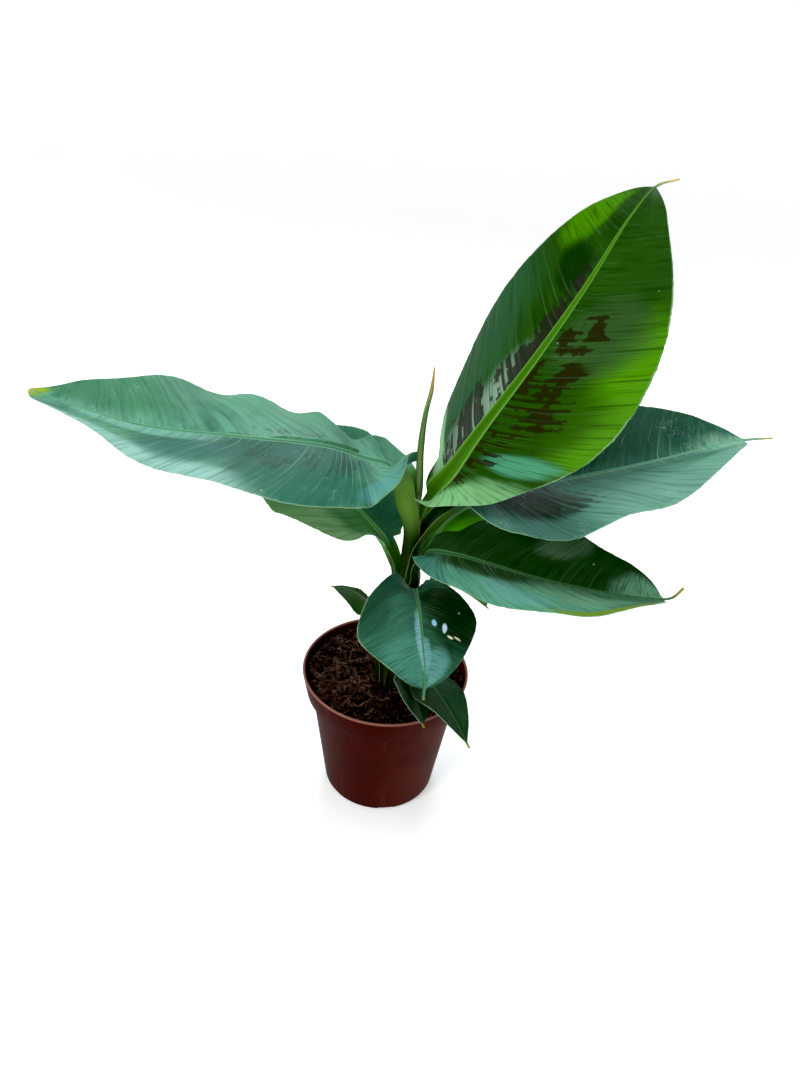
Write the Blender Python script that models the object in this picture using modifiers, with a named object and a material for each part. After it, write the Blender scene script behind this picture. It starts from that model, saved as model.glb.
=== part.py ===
"""A young banana plant in a round nursery pot, modelled as the plant grows.

A banana has no trunk. Each leaf starts underground as a sheath, which wraps the sheaths of the younger
leaves inside it, and the nested sheaths are the whole stem. Above its sheath a leaf narrows to a channelled
petiole, then widens to a blade whose thick midrib hangs below a thin, waved sheet and ends in a drip
thread. The youngest leaf is still rolled up: a slim spear in the middle of the stem.

Every leaf here is one sheet from its foot in the soil to its tip. The sheet is a loft across the leaf's own
centre line, because its section changes from a ring to a channel to a wide blade. Solidify gives it
thickness, more along the midrib. The pot and the soil are turned profiles.

Lengths are in millimetres until MM turns them into metres. +X is to the right of someone who looks along
+Y, and the origin is the centre of the pot's base.
"""
import math

import bmesh
import bpy
import numpy as np

MM = 0.001
SEAT_GAP = 0.3

POT_HEIGHT = 104.0
RIM_RADIUS = 60.0
RIM_ROUNDING = 0.8
COLLAR_HEIGHT = 18.4
COLLAR_FOOT_RADIUS = 57.0
BODY_TOP_RADIUS = 53.0
BASE_RADIUS = 42.0
BASE_ROUNDING = 4.0
POT_WALL = 1.6
FOOT_RING_WIDTH = 6.0
FLOOR_LIFT = 3.0
PAD_RADIUS = 12.0
POT_SIDES = 48
DRAIN_HOLES = 6
DRAIN_RADIUS = 4.0
DRAIN_CIRCLE = 24.0
NOTCHES = 6
NOTCH_WIDTH = 11.0
FIRST_NOTCH = -80.0

SOIL_TOP = 98.0
SOIL_RINGS = 10
SOIL_SIDES = 48
SOIL_RELIEF = 1.3

STEM_FOOT = 74.0
STEM_AT_SOIL = (6.0, -2.0)
STEM_LEAN = (0.045, 0.02)
CORE_RADIUS = 3.4
SHEATH_THICK = 0.65
SHEATH_GAP = 0.6
OUTER_LEVEL = 8
BLADE_THICK = 0.8

SPEAR_TOP = ((13, 2.5, 250), (12, 2.5, 276), (13, 2.5, 300), (15.5, 2.5, 316), (16, 2.5, 330))
SPEAR_TOP_RADII = (2.9, 2.4, 1.9, 1.5, 0.5)
SPEAR_SIDES = 14
SPEAR_STEP = 7

CURVE_STEPS = 14
CROSS_STEPS = 16
SHEATH_ROWS = (-40, -28, -19, -12, -5)
PETIOLE_ROWS = 6
MARGINS = (0, 0.012, 0.035, 0.07, 0.12, 0.19, 0.27, 0.36, 0.45, 0.54, 0.63, 0.71, 0.78, 0.84, 0.89, 0.93, 0.97,
           1)
SMALL_MARGINS = (0, 0.02, 0.06, 0.13, 0.22, 0.34, 0.48, 0.62, 0.75, 0.86, 0.94, 1)
ACROSS = (0.3, 0.55, 0.8, 1.0)
SMALL_ACROSS = (0.5, 1.0)
FOLD_STATIONS = (0.0, 0.5, 1.0)
LOBE_PEAK = 0.05
VEIN_SWEEP = 0.15

GREEN = (0.035, 0.12, 0.055)
PALE_GREEN = (0.10, 0.24, 0.12)

# What each value of a leaf means:
# level        how many sheaths lie inside this one; azimuth, the side of the stem on which its midrib runs
# parts_at     height at which the midrib leaves the stem; opens, where the sheath starts and stops narrowing
#              to the petiole, measured along the midrib from there
# wrap         how far round the stem the sheath reaches, in degrees, on the left and on the right
# petiole_half half the petiole's width, measured over its channel; channel, how far each half of it turns up
# route        points on the midrib above parts_at; blade_from, the first of them that is on the blade
# half         widths of the left and right half, seen from the stem with the upper face up
# twist        turn about the midrib, in degrees, at the blade's base, middle and tip
# fold         how steeply each half rises from the midrib, in degrees, at the same places; bend, how far it
#              turns on from there to its margin
# wave         ripples of each margin: height, count along the blade, phase in degrees
# shape        where the blade is widest and how blunt its ends are; lobe, how far its base reaches back
# thread_from  the share of the midrib at which the blade ends and the drip thread starts
# rib          thickness of the midrib at its base; small, a leaf that needs fewer points
LEAVES = [
    dict(
        name="leaf_top_right", level=0, azimuth=35, parts_at=224, opens=(-38, 10), wrap=(130, 130),
        petiole_half=5,
        route=[(22, 5, 243), (43, 15, 278), (76, 30, 327), (104, 45, 372), (127, 60, 413), (141, 70, 429),
               (155, 75, 433)],
        blade_from=0, half=(75, 78), twist=(10, 5, 0), thread_from=0.93,
        fold=((-25, -25), (-15, -20), (0, -10)), bend=(-25, -25),
        wave=(((1, 2, 90),), ((2, 2, 90),)),
        shape=(0.9, 0.8), lobe=(-0.05, 0.05), rib=4.6,
    ),
    dict(
        name="leaf_top_left", level=1, azimuth=170, parts_at=214, opens=(16, 36), wrap=(155, 100),
        petiole_half=16,
        channel=1.7,
        route=[(6, 2, 226), (3, 5, 239), (0, 10, 250), (-7, 15, 258), (-21, 10, 264), (-45, 0, 275),
               (-102, -5, 280), (-160, -5, 283), (-206, -5, 295), (-226, 0, 299)],
        blade_from=3, half=(70, 70), twist=(5, 5, 5), thread_from=1.0,
        fold=((-35, -15), (0, -10), (15, 15)), bend=(-20, -25),
        wave=(((3, 2.5, 90),), ((3, 2, 0), (5, 3.5, -90))),
        shape=(0.85, 0.85), lobe=(0.1, -0.05), rib=4.6,
    ),
    dict(
        name="leaf_middle_right", level=2, azimuth=10, parts_at=206, opens=(-24, 24), wrap=(130, 115),
        petiole_half=8,
        route=[(26, 6, 225), (44, 10, 240), (65, 10, 249), (109, 15, 258), (161, 25, 269), (205, 40, 277),
               (227, 50, 279), (250, 55, 280)],
        blade_from=1, half=(60, 66), twist=(-20, -15, -10), thread_from=0.9,
        fold=((5, 0), (5, 10), (15, 25)), bend=(-20, -20),
        wave=(((1, 1.5, 0),), ((4, 2.5, 90), (3, 3.5, 0))),
        shape=(0.75, 0.75), lobe=(0.03, 0.03), rib=4.4,
    ),
    dict(
        name="leaf_rear_right", level=3, azimuth=40, parts_at=188, opens=(-42, 6), wrap=(130, 110),
        petiole_half=4.5,
        route=[(19, 5, 193), (24, 10, 203), (34, 20, 216), (48, 25, 226), (71, 40, 226), (101, 50, 219),
               (130, 60, 203)],
        blade_from=1, half=(25, 25), twist=(0, 0, 0), thread_from=0.94,
        fold=((10, 10),) * 3, bend=(-15, -15),
        wave=(((1, 2.5, 0),), ((1, 2.5, 90),)), shape=(0.85, 0.8), lobe=(0.03, 0.03), rib=3.2,
    ),
    dict(
        name="leaf_lower_right", level=4, azimuth=-38, parts_at=184, opens=(-38, 8), wrap=(130, 130),
        petiole_half=5.5,
        channel=0.9,
        route=[(16.5, -10, 199), (22, -15, 213), (38, -25, 219), (60, -30, 217), (87, -35, 213),
               (128, -35, 206), (164, -30, 200), (180, -25, 198), (188, -20, 203)],
        blade_from=1, half=(42, 46), twist=(-20, -15, -10), thread_from=0.9,
        fold=((-10, 0), (0, 15), (5, 40)), bend=(-20, -15),
        wave=(((2, 3.5, 90),), ((2, 3.5, -90),)),
        shape=(0.9, 0.55), lobe=(-0.05, 0.02), rib=3.8,
    ),
    dict(
        name="leaf_lower_left", level=5, azimuth=160, parts_at=176, opens=(-38, 14), wrap=(130, 130),
        petiole_half=6.5,
        route=[(1, 4, 188), (-6, 5, 207), (-15, 10, 216), (-31, 15, 229), (-60, 30, 236), (-94, 40, 242),
               (-122, 50, 240)],
        blade_from=1, half=(47, 50), twist=(15, 15, 5), thread_from=0.95,
        fold=((5, 5), (0, 10), (5, 10)), bend=(-20, -15),
        wave=(((2, 2.5, 90),), ((2, 3, 0),)),
        shape=(0.9, 0.8), lobe=(0.03, 0.03), rib=3.8,
    ),
    dict(
        name="leaf_small_right", level=6, azimuth=-25, parts_at=158, opens=(-38, 14), wrap=(55, 55),
        petiole_half=5,
        route=[(21, -8, 177), (27, -7, 185), (37, -5, 184), (54, 0, 173), (68, 0, 162)],
        blade_from=1, half=(18, 18), twist=(0, 0, 0), thread_from=0.95,
        fold=((10, 10),) * 3, bend=(-15, -15),
        wave=(((0.5, 1.5, 0),), ((0.5, 1.5, 90),)), shape=(0.85, 0.8), lobe=(0.03, 0.03), rib=1.8, small=True,
    ),
    dict(
        name="leaf_front", level=7, azimuth=-80, parts_at=152, opens=(-38, 14), wrap=(130, 130),
        petiole_half=6,
        route=[(14, -15, 174), (15, -25, 191), (18, -40, 188), (22, -55, 171), (25, -70, 155),
               (25, -75, 142)],
        blade_from=1, half=(34, 43), twist=(0, 5, 10), thread_from=0.9,
        fold=((0, 0), (0, 0), (0, 5)), bend=(-20, -15),
        wave=(((3, 2, 180),), ((2, 1.5, 0),)),
        shape=(0.85, 0.75), lobe=(0, 0.03), rib=3.0,
    ),
    dict(
        name="leaf_small_left", level=8, azimuth=190, parts_at=128, opens=(-38, 10), wrap=(40, 60),
        petiole_half=4,
        channel=0.7,
        route=[(-7, -4, 140), (-10, -4, 152), (-15, -4, 163), (-26, -4, 171), (-41, -4, 174)],
        blade_from=1, half=(22, 6), twist=(0, 0, 0), thread_from=0.95,
        fold=((-10, 5), (-20, 0), (-10, 0)), bend=(-20, -20),
        wave=(((0.5, 1.5, 0),), ((0.5, 2.5, 0),)), shape=(0.9, 0.75), lobe=(0.03, 0.03), rib=2.0, small=True,
    ),
    dict(
        name="leaf_small_front_right", level=8, azimuth=-48, parts_at=114, opens=(-38, 10), wrap=(22, 22),
        petiole_half=4, channel=0.7,
        route=[(19.5, -10.5, 119), (24, -20, 120), (35, -40, 120), (46, -60, 117), (57, -80, 109)],
        blade_from=1, half=(18, 20), twist=(0, 0, 5), thread_from=0.94,
        fold=((0, -5),) * 3, bend=(-20, -25),
        wave=(((1.5, 1.5, -90),), ((2, 1.5, 90),)),
        shape=(0.8, 1.0), lobe=(0.03, 0.03), rib=2.4, small=True,
    ),
    dict(
        name="leaf_small_front", level=8, azimuth=-98, parts_at=108, opens=(-38, 10), wrap=(22, 22),
        petiole_half=4,
        route=[(7, -19, 121), (11, -26, 122), (17, -40, 120), (23, -55, 118), (28, -65, 109)],
        blade_from=1, half=(16, 18), twist=(-5, -5, -5), thread_from=0.94,
        fold=((0, -5),) * 3, bend=(-15, -20),
        wave=(((1.5, 1.5, -90),), ((1, 2.5, 0),)), shape=(0.85, 0.8), lobe=(0.03, 0.03), rib=2.0, small=True,
    ),
]


def clear_scene():
    for thing in list(bpy.data.objects):
        bpy.data.objects.remove(thing, do_unlink=True)


def collection(name):
    found = bpy.data.collections.get(name) or bpy.data.collections.new(name)
    if found.name not in bpy.context.scene.collection.children:
        bpy.context.scene.collection.children.link(found)
    return found


def principled(name, colour, roughness):
    material = bpy.data.materials.new(name)
    material.use_nodes = True
    shader = material.node_tree.nodes["Principled BSDF"]
    shader.inputs["Base Color"].default_value = (*colour, 1.0)
    shader.inputs["Roughness"].default_value = roughness
    shader.inputs["Metallic"].default_value = 0.0
    return material


def add_object(name, vertices, faces, group, material=None, edges=()):
    """A mesh object from points in millimetres."""
    mesh = bpy.data.meshes.new(name)
    mesh.from_pydata([tuple(c * MM for c in point) for point in vertices], edges, faces)
    thing = bpy.data.objects.new(name, mesh)
    group.objects.link(thing)
    if material:
        mesh.materials.append(material)
        mesh.shade_smooth()
    return thing


def turned(name, profile, sides, group, material):
    """A profile of (radius, height) points, turned about the vertical axis."""
    points = [(radius, 0.0, height) for radius, height in profile]
    edges = [(i, i + 1) for i in range(len(points) - 1)]
    thing = add_object(name, points, [], group, material, edges)
    screw = thing.modifiers.new("turn", "SCREW")
    screw.steps = sides
    screw.render_steps = sides
    screw.use_merge_vertices = True
    screw.merge_threshold = 0.01 * MM
    return thing


def arc(centre, radius, start, end, steps):
    """Points of a round corner in a profile, angles in degrees from the outward direction."""
    angles = [math.radians(start + (end - start) * i / steps) for i in range(steps + 1)]
    return [(centre[0] + radius * math.cos(a), centre[1] + radius * math.sin(a)) for a in angles]


def cut(thing, cutters, group):
    """Cut a collection of shapes out of an object."""
    modifier = thing.modifiers.new("cut", "BOOLEAN")
    modifier.operation = "DIFFERENCE"
    modifier.operand_type = "COLLECTION"
    modifier.collection = group
    for cutter in cutters:
        cutter.hide_render = True
        cutter.display_type = "WIRE"


def cylinder(name, radius, low, high, place, group, sides=24):
    shape = bmesh.new()
    bmesh.ops.create_cone(
        shape, cap_ends=True, segments=sides, radius1=radius * MM, radius2=radius * MM,
        depth=(high - low) * MM)
    mesh = bpy.data.meshes.new(name)
    shape.to_mesh(mesh)
    shape.free()
    thing = bpy.data.objects.new(name, mesh)
    thing.location = (place[0] * MM, place[1] * MM, (low + high) / 2 * MM)
    group.objects.link(thing)
    return thing


def box(name, size, place, turn, group):
    shape = bmesh.new()
    bmesh.ops.create_cube(shape, size=1.0)
    bmesh.ops.scale(shape, vec=[side * MM for side in size], verts=shape.verts)
    mesh = bpy.data.meshes.new(name)
    shape.to_mesh(mesh)
    shape.free()
    thing = bpy.data.objects.new(name, mesh)
    thing.location = [c * MM for c in place]
    thing.rotation_euler = (0.0, 0.0, turn)
    group.objects.link(thing)
    return thing


def round_the_axis(count, radius, first=0.0):
    """Places evenly spaced on a circle, each with its angle."""
    for i in range(count):
        angle = math.radians(first) + 2 * math.pi * i / count
        yield radius * math.cos(angle), radius * math.sin(angle), angle


def inner_wall(gap=0.0):
    """The pot's inside from floor to rim, as (radius, height) points, moved inwards by a gap."""
    floor = FLOOR_LIFT + POT_WALL
    collar_foot = POT_HEIGHT - COLLAR_HEIGHT
    inside = POT_WALL + gap
    return [
        (BASE_RADIUS - inside, floor + gap + BASE_ROUNDING / 2),
        (BODY_TOP_RADIUS - inside, collar_foot + gap),
        (COLLAR_FOOT_RADIUS - inside, collar_foot + POT_WALL + gap),
        (RIM_RADIUS - inside, POT_HEIGHT),
    ]


def pot_profile():
    """The pot's section from the middle of its floor, up the inside and down the outside to its base."""
    floor = FLOOR_LIFT + POT_WALL
    collar_foot = POT_HEIGHT - COLLAR_HEIGHT
    wall_in = inner_wall()
    rim_middle = (RIM_RADIUS - POT_WALL / 2, POT_HEIGHT - RIM_ROUNDING)
    profile = [(0.0, floor), (wall_in[0][0] - BASE_ROUNDING / 2, floor)]
    profile += wall_in[:3]
    profile += arc(rim_middle, RIM_ROUNDING, 180, 0, 4)
    profile += [(COLLAR_FOOT_RADIUS, collar_foot + RIM_ROUNDING),
                (COLLAR_FOOT_RADIUS - RIM_ROUNDING, collar_foot)]
    profile += [(BODY_TOP_RADIUS, collar_foot - RIM_ROUNDING)]
    profile += arc((BASE_RADIUS - BASE_ROUNDING, BASE_ROUNDING), BASE_ROUNDING, 0, -90, 4)
    profile += [(BASE_RADIUS - FOOT_RING_WIDTH, 0.0), (BASE_RADIUS - FOOT_RING_WIDTH, FLOOR_LIFT)]
    profile += [(PAD_RADIUS, FLOOR_LIFT), (PAD_RADIUS, 0.0), (0.0, 0.0)]
    return profile


def build_pot(parts, cutters):
    material = principled("pot_plastic", (0.105, 0.022, 0.013), 0.45)
    pot = turned("pot", pot_profile(), POT_SIDES, parts, material)
    shapes = []
    for x, y, _ in round_the_axis(DRAIN_HOLES, DRAIN_CIRCLE):
        shapes.append(cylinder("drain_cutter", DRAIN_RADIUS, -1, FLOOR_LIFT + 2 * POT_WALL, (x, y), cutters))
    for x, y, angle in round_the_axis(NOTCHES, BASE_RADIUS - FOOT_RING_WIDTH / 2, FIRST_NOTCH):
        size = (2 * FOOT_RING_WIDTH, NOTCH_WIDTH, 2 * FLOOR_LIFT)
        shapes.append(box("notch_cutter", size, (x, y, 0), angle, cutters))
    cut(pot, shapes, cutters)


def soil_height(x, y):
    """The soil's surface: a low mound round the stem, with soft clods and a few larger ones."""
    away = math.hypot(x - STEM_AT_SOIL[0], y - STEM_AT_SOIL[1])
    mound = 1.5 * math.exp(-(away / 26) ** 2)
    ripples = math.sin(0.21 * x + 1.3) * math.cos(0.26 * y - 0.4) + 0.6 * math.sin(0.47 * x - 0.39 * y)
    clods = 0.0
    for cx, cy, size, height in ((-38, 22, 7, 3.0), (-22, -36, 6, 1.8), (30, 30, 8, 2.0), (41, -16, 5, 1.5)):
        clods += height * math.exp(-((x - cx) ** 2 + (y - cy) ** 2) / size ** 2)
    return SOIL_TOP + mound + 0.6 * SOIL_RELIEF * ripples + clods


def build_soil(parts, cutters):
    """A filled pot of soil: rings across its top, then down the wall to a flat underside."""
    material = principled("soil_mix", (0.03, 0.017, 0.01), 0.95)
    wall = inner_wall(SEAT_GAP)
    top_radius = wall[3][0] - (POT_HEIGHT - SOIL_TOP) * (wall[3][0] - wall[2][0]) / (wall[3][1] - wall[2][1])
    angles = [2 * math.pi * i / SOIL_SIDES for i in range(SOIL_SIDES)]
    vertices = [(0.0, 0.0, soil_height(0, 0))]
    for ring in range(1, SOIL_RINGS + 1):
        radius = (top_radius - 0.5) * ring / SOIL_RINGS
        for a in angles:
            x, y = radius * math.cos(a), radius * math.sin(a)
            vertices.append((x, y, soil_height(x, y)))
    for radius, height in reversed(wall[:3]):
        vertices += [(radius * math.cos(a), radius * math.sin(a), height) for a in angles]
    floor = FLOOR_LIFT + POT_WALL + SEAT_GAP
    foot = wall[0][0] - BASE_ROUNDING / 2
    vertices += [(foot * math.cos(a), foot * math.sin(a), floor) for a in angles]
    vertices.append((0.0, 0.0, floor))
    rings = SOIL_RINGS + 4
    faces = []
    for i in range(SOIL_SIDES):
        j = (i + 1) % SOIL_SIDES
        faces.append((0, 1 + i, 1 + j))
        for ring in range(rings - 1):
            a, b = 1 + ring * SOIL_SIDES, 1 + (ring + 1) * SOIL_SIDES
            faces += [(a + i, b + i, b + j), (a + i, b + j, a + j)]
        last = 1 + (rings - 1) * SOIL_SIDES
        faces.append((last + i, len(vertices) - 1, last + j))
    soil = add_object("soil", vertices, faces, parts, material)
    hole = level_radius(OUTER_LEVEL) + SHEATH_THICK + SHEATH_GAP
    cutter = cylinder(
        "stem_hole_cutter", hole, STEM_FOOT - SEAT_GAP, POT_HEIGHT + 10, STEM_AT_SOIL, cutters, 36)
    cut(soil, [cutter], cutters)


def stem_axis(z):
    """The stem's middle line at height z: upright in the soil, and leaning above it."""
    rise = np.maximum(np.asarray(z, float) - SOIL_TOP, 0.0)
    x, y = (at_soil + lean * rise for at_soil, lean in zip(STEM_AT_SOIL, STEM_LEAN))
    return np.stack([x, y, z + 0 * rise], -1)


def level_radius(level):
    """The inside radius of a sheath that has this many sheaths within it."""
    return CORE_RADIUS + SHEATH_GAP + level * (SHEATH_THICK + SHEATH_GAP)


def unit(vectors):
    return vectors / np.linalg.norm(vectors, axis=-1, keepdims=True)


def smooth(x, low, high):
    share = np.clip((x - low) / (high - low), 0.0, 1.0)
    return share * share * (3 - 2 * share)


def eased(x, stations, values):
    """Values between stations, with the corners at the stations rounded off."""
    return sum(np.interp(x + shift, stations, values) for shift in (-0.06, -0.03, 0.0, 0.03, 0.06)) / 5


def through(points):
    """A smooth curve through the points, with no overshoot where they are unevenly spaced."""
    p = np.asarray(points, float)
    p = np.vstack([2 * p[0] - p[1], p, 2 * p[-1] - p[-2]])
    pieces = []
    for a, b, c, d in zip(p, p[1:], p[2:], p[3:]):
        t1 = np.linalg.norm(b - a) ** 0.5
        t2 = t1 + np.linalg.norm(c - b) ** 0.5
        t3 = t2 + np.linalg.norm(d - c) ** 0.5
        t = np.linspace(t1, t2, CURVE_STEPS, endpoint=False)[:, None]
        ab = ((t1 - t) * a + t * b) / t1
        bc = ((t2 - t) * b + (t - t1) * c) / (t2 - t1)
        cd = ((t3 - t) * c + (t - t2) * d) / (t3 - t2)
        abc = ((t2 - t) * ab + t * bc) / t2
        bcd = ((t3 - t) * bc + (t - t1) * cd) / (t3 - t1)
        pieces.append(((t2 - t) * abc + (t - t1) * bcd) / (t2 - t1))
    pieces.append(p[-2][None])
    return np.vstack(pieces)


class Spine:
    """A leaf's centre line, with the directions to its upper face and to its left margin all along it."""

    def __init__(self, leaf):
        side = math.radians(leaf["azimuth"])
        outward = np.array([math.cos(side), math.sin(side), 0.0])
        rise = leaf["parts_at"] - SOIL_TOP
        heights = np.append(STEM_FOOT, np.linspace(SOIL_TOP, leaf["parts_at"], max(2, int(rise / 10))))
        self.leaf = leaf
        self.radius = level_radius(leaf["level"])
        foot = stem_axis(heights) + self.radius * outward
        self.line = through(np.vstack([foot, leaf["route"]]))
        self.s = np.concatenate([[0], np.cumsum(np.linalg.norm(np.diff(self.line, axis=0), axis=1))])
        self.parts = self.s[(len(foot) - 1) * CURVE_STEPS]
        self.blade = self.s[(len(foot) + leaf["blade_from"]) * CURVE_STEPS]
        self.end = self.s[-1]
        self.along = unit(np.gradient(self.line, self.s, axis=0))
        self.turn_frame(-outward)
        self.base_along = unit(self.read(self.along, self.blade + 4))

    def turn_frame(self, upper):
        """Carry the upper face along the line without turning it, then add the leaf's own twist."""
        up = np.empty_like(self.along)
        up[0] = upper
        for i in range(1, len(up)):
            carried = up[i - 1] - self.along[i] * (up[i - 1] @ self.along[i])
            up[i] = carried / np.linalg.norm(carried)
        left = np.cross(up, self.along)
        middle = (self.blade + self.end) / 2
        stops = [0, self.parts, self.blade, middle, self.end]
        twist = np.radians(np.interp(self.s, stops, [0, 0, *self.leaf["twist"]]))[:, None]
        self.up = up * np.cos(twist) + left * np.sin(twist)
        self.left = left * np.cos(twist) - up * np.sin(twist)

    def read(self, values, s):
        return np.stack([np.interp(s, self.s, values[:, axis]) for axis in range(3)], -1)

    def half_width(self, s, column):
        """Half the width of the sheath or petiole, measured round its curve."""
        wrap = math.radians(self.leaf["wrap"][column]) * self.radius
        first, last = self.leaf["opens"]
        share = smooth(s, self.parts + first, self.parts + last)
        return wrap * (1 - share) + self.leaf["petiole_half"] * share

    def place(self, s, d, side, on_blade=False):
        """The point at length s, at distance d from the midrib, measured over the upper face."""
        leaf = self.leaf
        column = 0 if side > 0 else 1
        half_petiole = leaf["petiole_half"]
        share = np.clip((s - self.blade) / (self.end - self.blade), 0, 1)
        off_stem = smooth(s, self.parts, self.parts + leaf["opens"][1] + 10)
        spread = smooth(s, self.blade - 12, self.blade + 25)
        channel = (leaf.get("channel", 1.25) * (1 - spread) + 0.35 * spread) / half_petiole
        curl = (1 - off_stem) / self.radius + off_stem * channel
        reach = half_petiole + (1 - off_stem) * 60
        fold = eased(share, FOLD_STATIONS, np.radians([pair[column] for pair in leaf["fold"]]))
        bend = math.radians(leaf["bend"][column])
        across = np.zeros_like(d)
        rise = np.zeros_like(d)
        for i in range(CROSS_STEPS):
            at = d * (i + 0.5) / CROSS_STEPS
            outer = np.clip(at / leaf["half"][column], 0, 1.2)
            opened = spread + (1 - spread) * smooth(at, half_petiole, 2 * half_petiole) * on_blade
            turned_up = fold * smooth(at, 0, half_petiole) + bend * outer
            angle = curl * np.minimum(at, reach) + opened * turned_up
            across = across + np.cos(angle) * d / CROSS_STEPS
            rise = rise + np.sin(angle) * d / CROSS_STEPS
        rise = rise + spread * self.ripple(share, d, column)
        held = np.maximum(s, self.blade) if on_blade else s
        point = self.read(self.line, held) + (s - held)[..., None] * self.base_along
        left, up = unit(self.read(self.left, held)), unit(self.read(self.up, held))
        return point + left * (side * across)[..., None] + up * rise[..., None]

    def ripple(self, share, d, column):
        """The waves of a margin, which fade out towards the midrib and both ends of the blade."""
        waves = self.leaf["wave"][column]
        height = sum(h * np.sin(2 * np.pi * count * share + math.radians(phase)) for h, count, phase in waves)
        fade = np.sin(np.pi * np.clip(share, 0, 1)).clip(0, 1) ** 0.5
        return height * fade * np.clip(d / self.leaf["half"][column], 0, 1.2) ** 1.6


def outline(leaf, margin, column):
    """Where a vein leaves the midrib, where it meets the margin, and the width there, all as shares."""
    x = np.clip(margin / leaf["thread_from"], 1e-6, 1)
    belly, blunt = leaf["shape"]
    width = np.where(x < 1, np.maximum(np.sin(np.pi * x ** belly), 0) ** blunt, 0)
    back = leaf["lobe"][column] * (margin / LOBE_PEAK) * np.exp(1 - margin / LOBE_PEAK)
    return margin - VEIN_SWEEP * np.sin(np.pi * margin) * width, margin - back, width


def rib_thickness(leaf, spine, s):
    """The leaf's thickness on its midrib: that of the sheath, then a keel that tapers to the tip."""
    share = np.clip((s - spine.blade) / (spine.end - spine.blade), 0, 1)
    keel = leaf["rib"] * (1 - share) ** 0.8 + 1.0 * share
    grown = smooth(s, spine.parts, spine.parts + 25)
    return SHEATH_THICK * (1 - grown) + keel * grown


def leaf_rows(leaf):
    """The leaf's sheet as rows of (point, thickness), each from its right margin to its left."""
    spine = Spine(leaf)
    small = leaf.get("small", False)
    shares = SMALL_ACROSS if small else ACROSS
    count = len(shares) + 1
    order = [(-1, j) for j in range(count, 0, -1)] + [(1, j) for j in range(count + 1)]
    stops = [0.0, SOIL_TOP - STEM_FOOT]
    stops += [spine.parts + before for before in SHEATH_ROWS if spine.parts + before > stops[-1] + 3]
    stops += list(np.linspace(spine.parts, spine.blade, PETIOLE_ROWS + 1)[:-1])
    rows = []
    for s in stops:
        thick = rib_thickness(leaf, spine, s)
        row = []
        for side, j in order:
            d = spine.half_width(s, 0 if side > 0 else 1) * j / count
            edge = (j / count) ** 0.8
            point = spine.place(np.array(s), np.array(d), side)
            row.append((point, thick * (1 - edge) + SHEATH_THICK * edge))
        rows.append(row)
    for margin in SMALL_MARGINS if small else MARGINS:
        row = []
        for side, j in order:
            rib, edge, width = outline(leaf, margin, 0 if side > 0 else 1)
            full = leaf["half"][0 if side > 0 else 1] * width
            full += max(leaf["petiole_half"] * (1 - smooth(margin, 0, 0.05)), 0.9)
            rib_half = min(leaf["rib"] * 0.65 * (1 - 0.6 * margin), 0.35 * full)
            d = (0.0, rib_half, *[share * full for share in shares])[j]
            s = spine.blade + (spine.end - spine.blade) * (rib + (edge - rib) * (d / full) ** 1.3)
            thick = rib_thickness(leaf, spine, s) if j == 0 else BLADE_THICK
            row.append((spine.place(s, np.array(d), side, True), thick))
        rows.append(row)
    return rows


def build_leaf(leaf, parts, colour):
    rows = leaf_rows(leaf)
    columns = len(rows[0])
    margins = len(SMALL_MARGINS if leaf.get("small") else MARGINS)
    vertices = [point for row in rows for point, _ in row]
    faces = []
    for i in range(len(rows) - 1):
        for j in range(columns - 1):
            a, b = i * columns + j, (i + 1) * columns + j
            c, d = b + 1, a + 1
            right_half = j < columns // 2
            on_blade = i >= len(rows) - margins
            faces += [(a, b, c), (a, c, d)] if right_half == on_blade else [(a, b, d), (b, c, d)]
    material = principled(leaf["name"] + "_green", colour, 0.4)
    thing = add_object(leaf["name"], vertices, faces, parts, material)
    thicknesses = [thick for row in rows for _, thick in row]
    thickest = max(thicknesses)
    group = thing.vertex_groups.new(name="thickness")
    for index, thick in enumerate(thicknesses):
        group.add([index], thick / thickest, "REPLACE")
    solid = thing.modifiers.new("thickness", "SOLIDIFY")
    solid.thickness = thickest * MM
    solid.offset = -1.0
    solid.vertex_group = group.name
    solid.thickness_vertex_group = 0.0


def build_spear(parts):
    """The youngest leaf, still rolled up: a tapered, slightly bent tube in the middle of the stem."""
    heights = np.append(STEM_FOOT, np.linspace(SOIL_TOP, 226, 8))
    line = through(np.vstack([stem_axis(heights), SPEAR_TOP]))[::SPEAR_STEP]
    stations = [*heights, *(point[2] for point in SPEAR_TOP)]
    core_radii = np.linspace(CORE_RADIUS, SPEAR_TOP_RADII[0], len(heights))
    radii = np.interp(line[:, 2], stations, [*core_radii, *SPEAR_TOP_RADII])
    angles = [2 * math.pi * i / SPEAR_SIDES for i in range(SPEAR_SIDES)]
    vertices = []
    for (x, y, z), radius in zip(line, radii):
        vertices += [(x + radius * math.cos(a), y + radius * math.sin(a), z) for a in angles]
    rings = len(line)
    last = (rings - 1) * SPEAR_SIDES
    faces = [tuple(reversed(range(SPEAR_SIDES))), tuple(last + i for i in range(SPEAR_SIDES))]
    for ring in range(rings - 1):
        for i in range(SPEAR_SIDES):
            a, b = ring * SPEAR_SIDES + i, ring * SPEAR_SIDES + (i + 1) % SPEAR_SIDES
            faces.append((a, b, b + SPEAR_SIDES, a + SPEAR_SIDES))
    add_object("spear", vertices, faces, parts, principled("spear_green", PALE_GREEN, 0.4))


def main():
    clear_scene()
    parts = collection("potted_banana_plant")
    build_pot(parts, collection("pot_cutters"))
    build_soil(parts, collection("soil_cutters"))
    build_spear(parts)
    for leaf in LEAVES:
        build_leaf(leaf, parts, GREEN)


main()
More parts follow.
